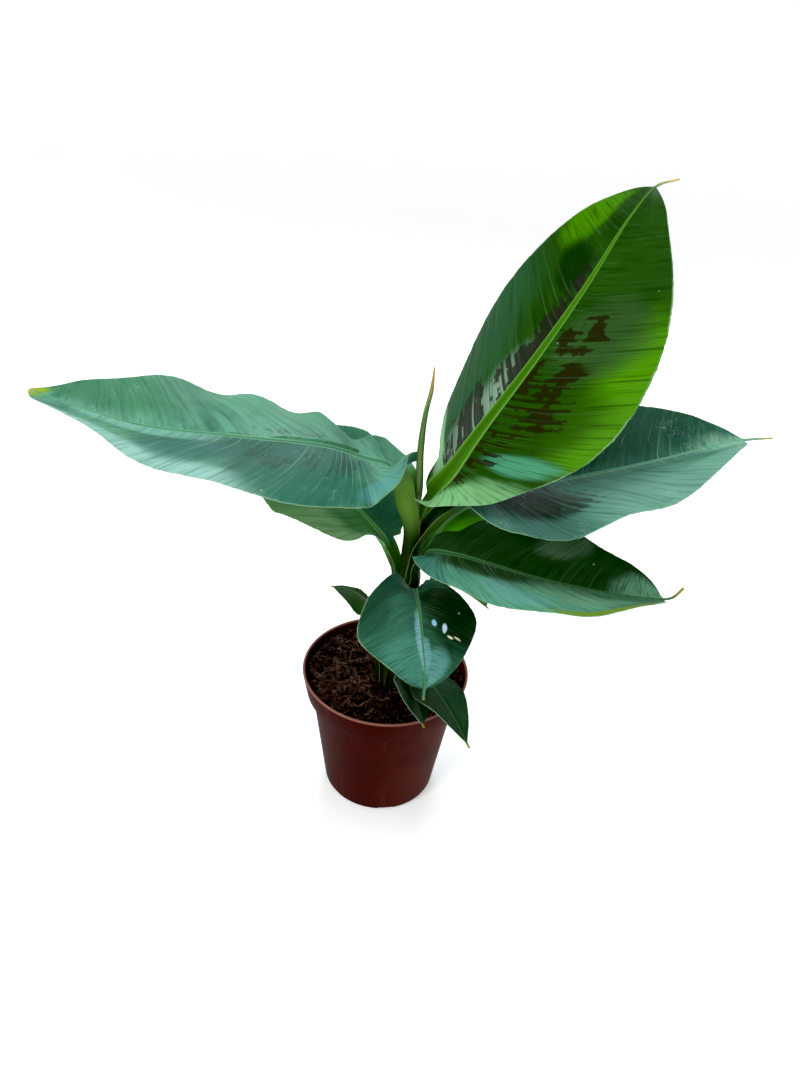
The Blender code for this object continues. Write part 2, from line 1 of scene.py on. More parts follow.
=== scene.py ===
# %% [markdown]
# # A young banana plant in a nursery pot
# A banana plant has no trunk. Every leaf starts as a sheath that wraps the younger sheaths inside it, and the
# nested sheaths are the stem. Above its sheath each leaf has a channelled petiole, a thick midrib and a thin blade
# with side veins that run straight out to the margin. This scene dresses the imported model: fine leaves with veins,
# wax and dark blotches, a rolled spear leaf, coir soil with loose fibres, and a dusty red-brown plastic pot.

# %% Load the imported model
import math

import bpy
import numpy as np
from mathutils import Matrix, Vector, noise


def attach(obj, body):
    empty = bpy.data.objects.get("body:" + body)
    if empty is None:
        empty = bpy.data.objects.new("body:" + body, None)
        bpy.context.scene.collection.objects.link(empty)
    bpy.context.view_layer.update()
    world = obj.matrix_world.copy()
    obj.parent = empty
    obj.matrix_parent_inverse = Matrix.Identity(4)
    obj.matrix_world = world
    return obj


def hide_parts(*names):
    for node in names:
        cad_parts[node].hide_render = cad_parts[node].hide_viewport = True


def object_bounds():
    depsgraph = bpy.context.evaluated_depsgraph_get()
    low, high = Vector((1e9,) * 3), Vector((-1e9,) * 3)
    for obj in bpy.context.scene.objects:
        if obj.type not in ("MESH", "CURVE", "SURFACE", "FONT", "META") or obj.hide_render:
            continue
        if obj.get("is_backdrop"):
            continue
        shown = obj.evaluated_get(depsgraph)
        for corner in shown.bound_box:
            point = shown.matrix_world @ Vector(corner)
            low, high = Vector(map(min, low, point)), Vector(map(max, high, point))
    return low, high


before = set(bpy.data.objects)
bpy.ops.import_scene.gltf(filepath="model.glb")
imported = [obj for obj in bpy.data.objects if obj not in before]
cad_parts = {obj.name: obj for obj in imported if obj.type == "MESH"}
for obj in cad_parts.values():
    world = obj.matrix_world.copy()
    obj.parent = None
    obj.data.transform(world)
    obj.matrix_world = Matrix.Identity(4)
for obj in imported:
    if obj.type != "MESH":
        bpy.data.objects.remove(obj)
cad_box = [list(corner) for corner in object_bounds()]
MM = 0.001
print("packed model:", sorted(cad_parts))
print("box in mm:", [[round(c / MM) for c in corner] for corner in cad_box])

# %% [markdown]
# ## The camera
# The photograph was taken from above the plant's front, looking down at about 31 degrees and slightly tilted. The
# camera is set by its place, its pitch, yaw and roll, and its lens. It could be aimed with a Track To constraint,
# but a matrix made from the three angles keeps the roll exact.

# %% Camera
PHOTO_HEIGHT = 1067
FOCAL_PIXELS = 801
EYE = Vector((0.0, -0.4526, 0.4834))
PITCH, YAW, ROLL = (math.radians(angle) for angle in (30.52, 0.39, 4.31))

ahead = Vector((math.sin(YAW) * math.cos(PITCH), math.cos(YAW) * math.cos(PITCH), -math.sin(PITCH)))
level = ahead.cross(Vector((0, 0, 1))).normalized()
upward = level.cross(ahead)
right = level * math.cos(ROLL) + upward * math.sin(ROLL)
top = upward * math.cos(ROLL) - level * math.sin(ROLL)
view = bpy.data.cameras.new("camera")
view.lens = 36.0 * FOCAL_PIXELS / PHOTO_HEIGHT
camera = bpy.data.objects.new("camera", view)
camera.matrix_world = Matrix.Translation(EYE) @ Matrix((right, top, -ahead)).transposed().to_4x4()
bpy.context.scene.collection.objects.link(camera)
bpy.context.scene.camera = camera
print(f"lens {view.lens:.1f} mm")

# %% [markdown]
# ## How a leaf is shaped
# A leaf's cross-section changes all the way up, from a ring round the stem to a channel and then to a wide blade,
# so no single curve with a bevel can make it. A loft can: a centre line runs from the foot of the sheath to the
# tip, and at every step the section is laid out across it. These are the same rules and the same driving
# dimensions as the solid model has, read at many more points.

# %% Dimensions of the stem, in millimetres
SOIL_TOP = 98.0
STEM_FOOT = 74.0
STEM_AT_SOIL = (6.0, -2.0)
STEM_LEAN = (0.045, 0.02)
CORE_RADIUS = 3.4
SHEATH_THICK = 0.65
SHEATH_GAP = 0.6
CURVE_STEPS = 14
CROSS_STEPS = 16
FOLD_STATIONS = (0.0, 0.5, 1.0)
LOBE_PEAK = 0.05
print("each sheath adds", round(SHEATH_THICK + SHEATH_GAP, 2), "mm to the stem's radius")

# %% [markdown]
# ## The upper leaves
# The youngest of the four upper leaves rises steeply, and the older ones lie out to the sides. Each of them
# could be modelled by hand, vertex by vertex, but a short list of driving values keeps them alike in kind, and one
# rule then builds them all. Lengths are in millimetres and angles in degrees.

# %% Dimensions of the upper leaves
# What each value of a leaf means:
# level        how many sheaths lie inside this one; azimuth, the side of the stem on which its midrib runs
# parts_at     height at which the midrib leaves the stem; opens, where the sheath starts and stops narrowing
#              to the petiole, measured along the midrib from there
# wrap         how far round the stem the sheath reaches, in degrees, on the left and on the right
# petiole_half half the petiole's width, measured over its channel; channel, how far each half of it turns up
# route        points on the midrib above parts_at; blade_from, the first of them that is on the blade
# half         widths of the left and right half, seen from the stem with the upper face up
# twist        turn about the midrib, in degrees, at the blade's base, middle and tip
# fold         how steeply each half rises from the midrib, in degrees, at the same places; bend, how far it
#              turns on from there to its margin
# wave         ripples of each margin: height, count along the blade, phase in degrees
# shape        where the blade is widest and how blunt its ends are; lobe, how far its base reaches back
# thread_from  the share of the midrib at which the blade ends and the drip thread starts
# rib          thickness of the midrib at its base; small, a leaf that needs fewer points
UPPER_LEAVES = [
    dict(
        name="leaf_top_right", level=0, azimuth=35, parts_at=224, opens=(-38, 10), wrap=(130, 130),
        petiole_half=5,
        route=[(22, 5, 243), (43, 15, 278), (76, 30, 327), (104, 45, 372), (127, 60, 413), (141, 70, 429),
               (155, 75, 433)],
        blade_from=0, half=(75, 78), twist=(10, 5, 0), thread_from=0.93,
        fold=((-25, -25), (-15, -20), (0, -10)), bend=(-25, -25),
        wave=(((1, 2, 90),), ((2, 2, 90),)),
        shape=(0.9, 0.8), lobe=(-0.05, 0.05), rib=4.6,
    ),
    dict(
        name="leaf_top_left", level=1, azimuth=170, parts_at=214, opens=(16, 36), wrap=(155, 100),
        petiole_half=16,
        channel=1.7,
        route=[(6, 2, 226), (3, 5, 239), (0, 10, 250), (-7, 15, 258), (-21, 10, 264), (-45, 0, 275),
               (-102, -5, 280), (-160, -5, 283), (-206, -5, 295), (-226, 0, 299)],
        blade_from=3, half=(70, 70), twist=(5, 5, 5), thread_from=1.0,
        fold=((-35, -15), (0, -10), (15, 15)), bend=(-20, -25),
        wave=(((3, 2.5, 90),), ((3, 2, 0), (5, 3.5, -90))),
        shape=(0.85, 0.85), lobe=(0.1, -0.05), rib=4.6,
    ),
    dict(
        name="leaf_middle_right", level=2, azimuth=10, parts_at=206, opens=(-24, 24), wrap=(130, 115),
        petiole_half=8,
        route=[(26, 6, 225), (44, 10, 240), (65, 10, 249), (109, 15, 258), (161, 25, 269), (205, 40, 277),
               (227, 50, 279), (250, 55, 280)],
        blade_from=1, half=(60, 66), twist=(-20, -15, -10), thread_from=0.9,
        fold=((5, 0), (5, 10), (15, 25)), bend=(-20, -20),
        wave=(((1, 1.5, 0),), ((4, 2.5, 90), (3, 3.5, 0))),
        shape=(0.75, 0.75), lobe=(0.03, 0.03), rib=4.4,
    ),
    dict(
        name="leaf_rear_right", level=3, azimuth=40, parts_at=188, opens=(-42, 6), wrap=(130, 110),
        petiole_half=4.5,
        route=[(19, 5, 193), (24, 10, 203), (34, 20, 216), (48, 25, 226), (71, 40, 226), (101, 50, 219),
               (130, 60, 203)],
        blade_from=1, half=(25, 25), twist=(0, 0, 0), thread_from=0.94,
        fold=((10, 10),) * 3, bend=(-15, -15),
        wave=(((1, 2.5, 0),), ((1, 2.5, 90),)), shape=(0.85, 0.8), lobe=(0.03, 0.03), rib=3.2,
    ),
]
print(len(UPPER_LEAVES), "upper leaves")

# %% [markdown]
# ## The middle leaves
# Older leaves part from the stem lower down, and their sheaths lie outside those of the younger ones. They hang more
# than they rise, and the one at the front bends down over the pot.

# %% Dimensions of the middle leaves
MIDDLE_LEAVES = [
    dict(
        name="leaf_lower_right", level=4, azimuth=-38, parts_at=184, opens=(-38, 8), wrap=(130, 130),
        petiole_half=5.5,
        channel=0.9,
        route=[(16.5, -10, 199), (22, -15, 213), (38, -25, 219), (60, -30, 217), (87, -35, 213),
               (128, -35, 206), (164, -30, 200), (180, -25, 198), (188, -20, 203)],
        blade_from=1, half=(42, 46), twist=(-20, -15, -10), thread_from=0.9,
        fold=((-10, 0), (0, 15), (5, 40)), bend=(-20, -15),
        wave=(((2, 3.5, 90),), ((2, 3.5, -90),)),
        shape=(0.9, 0.55), lobe=(-0.05, 0.02), rib=3.8,
    ),
    dict(
        name="leaf_lower_left", level=5, azimuth=160, parts_at=176, opens=(-38, 14), wrap=(130, 130),
        petiole_half=6.5,
        route=[(1, 4, 188), (-6, 5, 207), (-15, 10, 216), (-31, 15, 229), (-60, 30, 236), (-94, 40, 242),
               (-122, 50, 240)],
        blade_from=1, half=(47, 50), twist=(15, 15, 5), thread_from=0.95,
        fold=((5, 5), (0, 10), (5, 10)), bend=(-20, -15),
        wave=(((2, 2.5, 90),), ((2, 3, 0),)),
        shape=(0.9, 0.8), lobe=(0.03, 0.03), rib=3.8,
    ),
    dict(
        name="leaf_small_right", level=6, azimuth=-25, parts_at=158, opens=(-38, 14), wrap=(55, 55),
        petiole_half=5,
        route=[(21, -8, 177), (27, -7, 185), (37, -5, 184), (54, 0, 173), (68, 0, 162)],
        blade_from=1, half=(18, 18), twist=(0, 0, 0), thread_from=0.95,
        fold=((10, 10),) * 3, bend=(-15, -15),
        wave=(((0.5, 1.5, 0),), ((0.5, 1.5, 90),)), shape=(0.85, 0.8), lobe=(0.03, 0.03), rib=1.8, small=True,
    ),
    dict(
        name="leaf_front", level=7, azimuth=-80, parts_at=152, opens=(-38, 14), wrap=(130, 130),
        petiole_half=6,
        route=[(14, -15, 174), (15, -25, 191), (18, -40, 188), (22, -55, 171), (25, -70, 155),
               (25, -75, 142)],
        blade_from=1, half=(34, 43), twist=(0, 5, 10), thread_from=0.9,
        fold=((0, 0), (0, 0), (0, 5)), bend=(-20, -15),
        wave=(((3, 2, 180),), ((2, 1.5, 0),)),
        shape=(0.85, 0.75), lobe=(0, 0.03), rib=3.0,
    ),
]
print(len(MIDDLE_LEAVES), "middle leaves")

# %% [markdown]
# ## The leaves at the foot
# The first leaves of a young plant are small, and they stay on as a collar near the soil. Their sheaths reach only
# part of the way round the stem, so three of them share one level.

# %% Dimensions of the leaves at the foot
FOOT_LEAVES = [
    dict(
        name="leaf_small_left", level=8, azimuth=190, parts_at=128, opens=(-38, 10), wrap=(40, 60),
        petiole_half=4,
        channel=0.7,
        route=[(-7, -4, 140), (-10, -4, 152), (-15, -4, 163), (-26, -4, 171), (-41, -4, 174)],
        blade_from=1, half=(22, 6), twist=(0, 0, 0), thread_from=0.95,
        fold=((-10, 5), (-20, 0), (-10, 0)), bend=(-20, -20),
        wave=(((0.5, 1.5, 0),), ((0.5, 2.5, 0),)), shape=(0.9, 0.75), lobe=(0.03, 0.03), rib=2.0, small=True,
    ),
    dict(
        name="leaf_small_front_right", level=8, azimuth=-48, parts_at=114, opens=(-38, 10), wrap=(22, 22),
        petiole_half=4, channel=0.7,
        route=[(19.5, -10.5, 119), (24, -20, 120), (35, -40, 120), (46, -60, 117), (57, -80, 109)],
        blade_from=1, half=(18, 20), twist=(0, 0, 5), thread_from=0.94,
        fold=((0, -5),) * 3, bend=(-20, -25),
        wave=(((1.5, 1.5, -90),), ((2, 1.5, 90),)),
        shape=(0.8, 1.0), lobe=(0.03, 0.03), rib=2.4, small=True,
    ),
    dict(
        name="leaf_small_front", level=8, azimuth=-98, parts_at=108, opens=(-38, 10), wrap=(22, 22),
        petiole_half=4,
        route=[(7, -19, 121), (11, -26, 122), (17, -40, 120), (23, -55, 118), (28, -65, 109)],
        blade_from=1, half=(16, 18), twist=(-5, -5, -5), thread_from=0.94,
        fold=((0, -5),) * 3, bend=(-15, -20),
        wave=(((1.5, 1.5, -90),), ((1, 2.5, 0),)), shape=(0.85, 0.8), lobe=(0.03, 0.03), rib=2.0, small=True,
    ),
]
LEAVES = UPPER_LEAVES + MIDDLE_LEAVES + FOOT_LEAVES
print(len(LEAVES), "leaves, from", LEAVES[-1]["name"], "at the soil to", LEAVES[0]["name"])

# %% [markdown]
# ## The middle of the stem
# Above the soil the nested sheaths lean a little to one side, and how far out a sheath lies follows from how many
# are inside it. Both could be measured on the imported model, but two short rules give them at any height.

# %% The middle of the stem, and small helpers
def stem_axis(z):
    """The stem's middle line at height z: upright in the soil, and leaning above it."""
    rise = np.maximum(np.asarray(z, float) - SOIL_TOP, 0.0)
    x, y = (foot + lean * rise for foot, lean in zip(STEM_AT_SOIL, STEM_LEAN))
    return np.stack([x, y, z + 0 * rise], -1)


def level_radius(level):
    """The inside radius of a sheath that has this many sheaths within it."""
    return CORE_RADIUS + SHEATH_GAP + level * (SHEATH_THICK + SHEATH_GAP)


def unit(vectors):
    return vectors / np.linalg.norm(vectors, axis=-1, keepdims=True)


def smooth(x, low, high):
    share = np.clip((x - low) / (high - low), 0.0, 1.0)
    return share * share * (3 - 2 * share)


def eased(x, stations, values):
    """Values between stations, with the corners at the stations rounded off."""
    return sum(np.interp(x + shift, stations, values) for shift in (-0.06, -0.03, 0.0, 0.03, 0.06)) / 5


def column_of(side):
    """Where a half's value stands in a pair: the left half's comes first."""
    return 0 if side > 0 else 1


top_part = stem_axis(np.array([LEAVES[0]["parts_at"]]))[0]
print("the top leaf parts from the stem at", [round(float(c), 1) for c in top_part])

# %% [markdown]
# ## A curve through points
# A midrib bends smoothly through the points of its route. One of Blender's curves could hold it, but Bezier handles
# would have to be set by hand, and a NURBS curve misses its points. A Catmull-Rom curve meets each one, and with
# knots that follow the distances between them it makes no loops.

# %% Curve through points
def through(points):
    """A smooth curve through the points, with no loops where they are unevenly spaced."""
    p = np.asarray(points, float)
    p = np.vstack([2 * p[0] - p[1], p, 2 * p[-1] - p[-2]])
    pieces = []
    for a, b, c, d in zip(p, p[1:], p[2:], p[3:]):
        t1 = np.linalg.norm(b - a) ** 0.5
        t2 = t1 + np.linalg.norm(c - b) ** 0.5
        t3 = t2 + np.linalg.norm(d - c) ** 0.5
        t = np.linspace(t1, t2, CURVE_STEPS, endpoint=False)[:, None]
        ab = ((t1 - t) * a + t * b) / t1
        bc = ((t2 - t) * b + (t - t1) * c) / (t2 - t1)
        cd = ((t3 - t) * c + (t - t2) * d) / (t3 - t2)
        abc = ((t2 - t) * ab + t * bc) / t2
        bcd = ((t3 - t) * bc + (t - t1) * cd) / (t3 - t1)
        pieces.append(((t2 - t) * abc + (t - t1) * bcd) / (t2 - t1))
    pieces.append(p[-2][None])
    return np.vstack(pieces)


print(len(LEAVES[0]["route"]), "points become", len(through(LEAVES[0]["route"])))

# %% [markdown]
# ## Centre line and cross-section
# A leaf's line starts low in the stem, climbs on its own side of it, and bends outward over the points of its
# route. At each point the line needs two more directions: where the upper face looks and where the left margin
# lies. Blender's own curves can work them out, but their twist is hard to set, so here the upper face is carried
# along step by step. The section is then walked outward from the midrib in short steps, each a little steeper.

# %% Centre line and cross-section
class Spine:
    """A leaf's centre line, with the directions to its upper face and to its left margin all along it."""

    def __init__(self, leaf):
        side = math.radians(leaf["azimuth"])
        outward = np.array([math.cos(side), math.sin(side), 0.0])
        rise = leaf["parts_at"] - SOIL_TOP
        heights = np.append(STEM_FOOT, np.linspace(SOIL_TOP, leaf["parts_at"], max(2, int(rise / 10))))
        self.leaf = leaf
        self.radius = level_radius(leaf["level"])
        foot = stem_axis(heights) + self.radius * outward
        self.line = through(np.vstack([foot, leaf["route"]]))
        self.s = np.concatenate([[0], np.cumsum(np.linalg.norm(np.diff(self.line, axis=0), axis=1))])
        self.parts = self.s[(len(foot) - 1) * CURVE_STEPS]
        self.blade = self.s[(len(foot) + leaf["blade_from"]) * CURVE_STEPS]
        self.end = self.s[-1]
        self.along = unit(np.gradient(self.line, self.s, axis=0))
        self.turn_frame(-outward)
        self.base_along = unit(self.read(self.along, self.blade + 4))

    def turn_frame(self, upper):
        """Carry the upper face along the line without turning it, then add the leaf's own twist."""
        up = np.empty_like(self.along)
        up[0] = upper
        for i in range(1, len(up)):
            carried = up[i - 1] - self.along[i] * (up[i - 1] @ self.along[i])
            up[i] = carried / np.linalg.norm(carried)
        left = np.cross(up, self.along)
        middle = (self.blade + self.end) / 2
        stops = [0, self.parts, self.blade, middle, self.end]
        twist = np.radians(np.interp(self.s, stops, [0, 0, *self.leaf["twist"]]))[:, None]
        self.up = up * np.cos(twist) + left * np.sin(twist)
        self.left = left * np.cos(twist) - up * np.sin(twist)

    def read(self, values, s):
        return np.stack([np.interp(s, self.s, values[:, axis]) for axis in range(3)], -1)

    def half_width(self, s, column):
        """Half the width of the sheath or petiole, measured round its curve."""
        wrap = math.radians(self.leaf["wrap"][column]) * self.radius
        first, last = self.leaf["opens"]
        share = smooth(s, self.parts + first, self.parts + last)
        return wrap * (1 - share) + self.leaf["petiole_half"] * share

    def place(self, s, d, side, on_blade=False):
        """The point at length s, at distance d from the midrib, measured over the upper face."""
        leaf = self.leaf
        column = column_of(side)
        half_petiole = leaf["petiole_half"]
        share = np.clip((s - self.blade) / (self.end - self.blade), 0, 1)
        off_stem = smooth(s, self.parts, self.parts + leaf["opens"][1] + 10)
        spread = smooth(s, self.blade - 12, self.blade + 25)
        channel = (leaf.get("channel", 1.25) * (1 - spread) + 0.35 * spread) / half_petiole
        curl = (1 - off_stem) / self.radius + off_stem * channel
        reach = half_petiole + (1 - off_stem) * 60
        fold = eased(share, FOLD_STATIONS, np.radians([pair[column] for pair in leaf["fold"]]))
        bend = math.radians(leaf["bend"][column])
        across = np.zeros_like(d)
        rise = np.zeros_like(d)
        for i in range(CROSS_STEPS):
            at = d * (i + 0.5) / CROSS_STEPS
            outer = np.clip(at / leaf["half"][column], 0, 1.2)
            opened = spread + (1 - spread) * smooth(at, half_petiole, 2 * half_petiole) * on_blade
            angle = curl * np.minimum(at, reach) + opened * (fold * smooth(at, 0, half_petiole) + bend * outer)
            across = across + np.cos(angle) * d / CROSS_STEPS
            rise = rise + np.sin(angle) * d / CROSS_STEPS
        rise = rise + spread * self.ripple(share, d, column)
        held = np.maximum(s, self.blade) if on_blade else s
        point = self.read(self.line, held) + (s - held)[..., None] * self.base_along
        left, up = unit(self.read(self.left, held)), unit(self.read(self.up, held))
        return point + left * (side * across)[..., None] + up * rise[..., None]

    def ripple(self, share, d, column):
        """The waves of a margin, which fade out towards the midrib and both ends of the blade."""
        waves = self.leaf["wave"][column]
        height = sum(h * np.sin(2 * np.pi * count * share + math.radians(phase)) for h, count, phase in waves)
        fade = np.sin(np.pi * np.clip(share, 0, 1)).clip(0, 1) ** 0.5
        return height * fade * np.clip(d / self.leaf["half"][column], 0, 1.2) ** 1.6


print("longest midrib with its sheath:", round(max(Spine(leaf).end for leaf in LEAVES)), "mm")

# %% [markdown]
# ## Outline of a blade
# A blade swells to its widest place and narrows to its tip, and its base reaches back in two small lobes. Its side
# veins lean towards the tip on their way to the margin. The outline could be drawn as a curve, but a sine with one
# exponent for the widest place and one for how blunt the ends are needs only two values for each leaf.

# %% Outline of a blade
def outline(leaf, margin, column):
    """Where a vein leaves the midrib, where it meets the margin, and the blade's width there, all as shares."""
    x = np.clip(margin / leaf["thread_from"], 1e-6, 1)
    belly, blunt = leaf["shape"]
    width = np.where(x < 1, np.maximum(np.sin(np.pi * x ** belly), 0) ** blunt, 0)
    back = leaf["lobe"][column] * (margin / LOBE_PEAK) * np.exp(1 - margin / LOBE_PEAK)
    return margin - leaf["sweep"][column] * np.sin(np.pi * margin) * width, margin - back, width


widest = {leaf["name"]: round(0.5 ** (1 / leaf["shape"][0]) * leaf["thread_from"], 2) for leaf in LEAVES}
print("widest place, as a share of the blade:", widest)

# %% [markdown]
# ## Fine leaf sheets
# The real leaf is a sheet about half a millimetre thick, with a midrib that is a shallow channel above and a round
# keel below, side veins that press faint pleats into the blade, and a slightly uneven margin. The sheet is laid
# out on a grid whose rows are side veins, so a colour or a bump that follows the row number follows the veins. The
# underside is the same grid pushed back by the leaf's thickness, and a strip along the margin closes the shell.

# %% Rows and columns of a leaf's grid
BLADE_THICK = 0.5
RIDGE_HEIGHT = 0.35
PLEAT_HEIGHT = 0.28
# Rows past the base of a blade and columns of each half, and how close the rows at the base lie
ROWS, COLUMNS = 150, 24
SMALL_ROWS, SMALL_COLUMNS = 70, 14
BASE_ROWS, BASE_SHARE = 12, 0.06
# Rows of the stem below and above the place where a sheath may start to narrow, and how far below its parting
# from the stem that place lies
LOW_ROWS, HIGH_ROWS = 14, 46
NARROWS_BELOW = 45
# Millimetres in one unit of the map of true sizes, across the leaf and along it
ACROSS_UNIT, LENGTH_UNIT = 100.0, 1000.0


def spread_rows(spine):
    """Lengths of the rows below the blade: close together where the sheath narrows."""
    low = np.linspace(0, spine.parts - NARROWS_BELOW, LOW_ROWS)
    high = np.linspace(spine.parts - NARROWS_BELOW, spine.blade, HIGH_ROWS)
    return np.concatenate([low[:-1], high[:-1]])


def columns_of(full, rib_half, count):
    """Distances from the midrib: a third of the columns lie on the midrib, the rest reach the margin."""
    on_rib = count // 3
    ribs = rib_half * np.linspace(0, 1, on_rib + 1)
    rest = rib_half + (full - rib_half) * np.linspace(0, 1, count - on_rib + 1)[1:] ** 0.9
    return np.concatenate([ribs, rest])


def slow_wave(x, counts, generator):
    """A smooth irregular ripple along the leaf, about 1 high."""
    total = sum(np.sin(2 * np.pi * count * x + generator.uniform(0, 6.3)) for count in counts)
    return total / len(counts)


def keel(leaf, spine, s):
    share = np.clip((s - spine.blade) / (spine.end - spine.blade), 0, 1)
    grown = smooth(s, spine.parts, spine.parts + 25)
    return SHEATH_THICK * (1 - grown) + (leaf["rib"] * (1 - share) ** 0.8 + 0.8 * share) * grown


print("points in a row:", 2 * COLUMNS + 1, "or", 2 * SMALL_COLUMNS + 1)

# %% [markdown]
# ## Both halves of every row
# Each row runs from the right margin over the midrib to the left margin. A plane with shape keys could be bent into
# a leaf, but points that are worked out one by one can carry their own thickness and map coordinates with them.

# %% A leaf's grid
def leaf_grid(leaf):
    """Points of the upper face, thickness, and two sets of map coordinates, row by row."""
    spine = Spine(leaf)
    small = leaf.get("small", False)
    count = SMALL_COLUMNS if small else COLUMNS
    stems = spread_rows(spine)
    base, rest = np.linspace(0, BASE_SHARE, BASE_ROWS), np.linspace(BASE_SHARE, 1, SMALL_ROWS if small else ROWS)
    margins = np.concatenate([base[:-1], rest])
    generator = np.random.RandomState(len(leaf["name"]) * 7 + int(leaf["parts_at"]))
    sides, rows, thick, leaf_map, size_map = (-1, 1), [], [], [], []
    pleats = {side: slow_wave(margins, (11, 17, 26, 41), generator) for side in sides}
    ragged = {side: slow_wave(margins, (13, 29, 53, 71), generator) for side in sides}

    def add_row(parts):
        rows.append(np.vstack([p[0] for p in parts]))
        thick.append(np.concatenate([p[1] for p in parts]))
        leaf_map.append(np.vstack([p[2] for p in parts]))
        size_map.append(np.vstack([p[3] for p in parts]))

    def one_side(side, s_of, full, v, on_blade, lift):
        rib_half = min(leaf["rib"] * 0.8 * (1 - 0.75 * max(v, 0)), 0.35 * full)
        d = columns_of(full, rib_half, count)
        s = s_of(d)
        points = spine.place(s, d, side, on_blade)
        core = keel(leaf, spine, s[0])
        round_keel = np.sqrt(np.clip(1 - (d / (1.3 * rib_half)) ** 2, 0, 1))
        sheet = BLADE_THICK * (1 - 0.4 * d / full)
        section = round_keel if on_blade else 1 - (d / full) ** 1.5
        depth = sheet + (max(core, BLADE_THICK) - BLADE_THICK) * section
        if on_blade:
            ridge = RIDGE_HEIGHT * np.exp(-((d - rib_half) / (0.35 * rib_half)) ** 2) * (1 - v)
            points = points + unit(spine.read(spine.up, np.maximum(s, spine.blade))) * (ridge + lift(d))[:, None]
        maps = np.stack([side * d / full, np.full_like(d, v)], -1)
        sizes = np.stack([side * d / ACROSS_UNIT, s / LENGTH_UNIT], -1)
        order = slice(None, 0, -1) if side < 0 else slice(None)
        return points[order], depth[order], maps[order], sizes[order]

    for s in stems:
        v = (s - spine.blade) / (spine.end - spine.blade)
        add_row([one_side(side, lambda d: np.full_like(d, s), spine.half_width(s, column_of(side)),
                          v, False, None) for side in sides])
    for k, margin in enumerate(margins):
        parts = []
        for side in sides:
            column = column_of(side)
            rib, edge, width = outline(leaf, margin, column)
            full = leaf["half"][column] * float(width) * (0.993 + 0.006 * ragged[side][k])
            full += max(leaf["petiole_half"] * (1 - smooth(margin, 0, 0.05)), 0.9)
            height = PLEAT_HEIGHT * pleats[side][k] * float(width)
            parts.append(one_side(
                side,
                lambda d: spine.blade + (spine.end - spine.blade) * (rib + (edge - rib) * (d / full) ** 1.3),
                full, margin, True, lambda d: height * np.sqrt(d / full)))
        add_row(parts)
    return np.array(rows), np.array(thick), np.array(leaf_map), np.array(size_map)


# %% [markdown]
# ## From a grid to a solid sheet
# The rows and columns become a mesh with a front, a back and a rim. A Solidify modifier would give one thickness
# everywhere, but a leaf is thick at its midrib and thin at its margin, so every point is pushed back by its own
# amount. Two UV maps are stored with it: shares of the leaf, and true sizes.

# %% Close a grid into a shell
def into_scene(name, mesh):
    thing = bpy.data.objects.new(name, mesh)
    bpy.context.scene.collection.objects.link(thing)
    return thing


def closed_shell(name, rows, thick, maps, materials):
    """A thin closed mesh: the grid, the same grid pushed back by its thickness, and a strip round the edge."""
    along, across = np.gradient(rows, axis=0), np.gradient(rows, axis=1)
    normal = np.cross(along, across)
    normal /= np.maximum(np.linalg.norm(normal, axis=-1, keepdims=True), 1e-9)
    back = rows - normal * thick[..., None]
    height, width = rows.shape[:2]
    index = np.arange(height * width).reshape(height, width)
    a, b, c, d = index[:-1, :-1], index[1:, :-1], index[1:, 1:], index[:-1, 1:]
    front_faces = np.stack([a, b, c, d], -1).reshape(-1, 4)
    size = height * width
    back_faces = front_faces[:, ::-1] + size
    rim = np.concatenate([index[:, 0], index[-1, 1:], index[::-1, -1][1:], index[0, ::-1][1:-1]])
    after = np.roll(rim, -1)
    rim_faces = np.stack([rim, rim + size, after + size, after], -1)
    faces = np.vstack([front_faces, back_faces, rim_faces])
    mesh = bpy.data.meshes.new(name)
    mesh.from_pydata((np.vstack([rows.reshape(-1, 3), back.reshape(-1, 3)]) * MM).tolist(), [], faces.tolist())
    for material in materials:
        mesh.materials.append(material)
    slots = np.ones(len(faces), dtype=np.int32)
    slots[:len(front_faces)] = 0
    mesh.polygons.foreach_set("material_index", slots)
    corners = np.zeros(len(mesh.loops), dtype=np.int32)
    mesh.loops.foreach_get("vertex_index", corners)
    for label, values in maps.items():
        layer = mesh.uv_layers.new(name=label)
        flat = np.vstack([values.reshape(-1, 2)] * 2)
        layer.data.foreach_set("uv", flat[corners].ravel())
    mesh.shade_smooth()
    mesh.set_sharp_from_angle(angle=math.radians(60))
    return into_scene(name, mesh)


# %% [markdown]
# ## Node recipes
# Every finish here is built from shader nodes, so it needs no image. A small helper adds a node, sets or links its
# inputs, and hands back its output, which keeps each recipe close to the sentence that describes it.

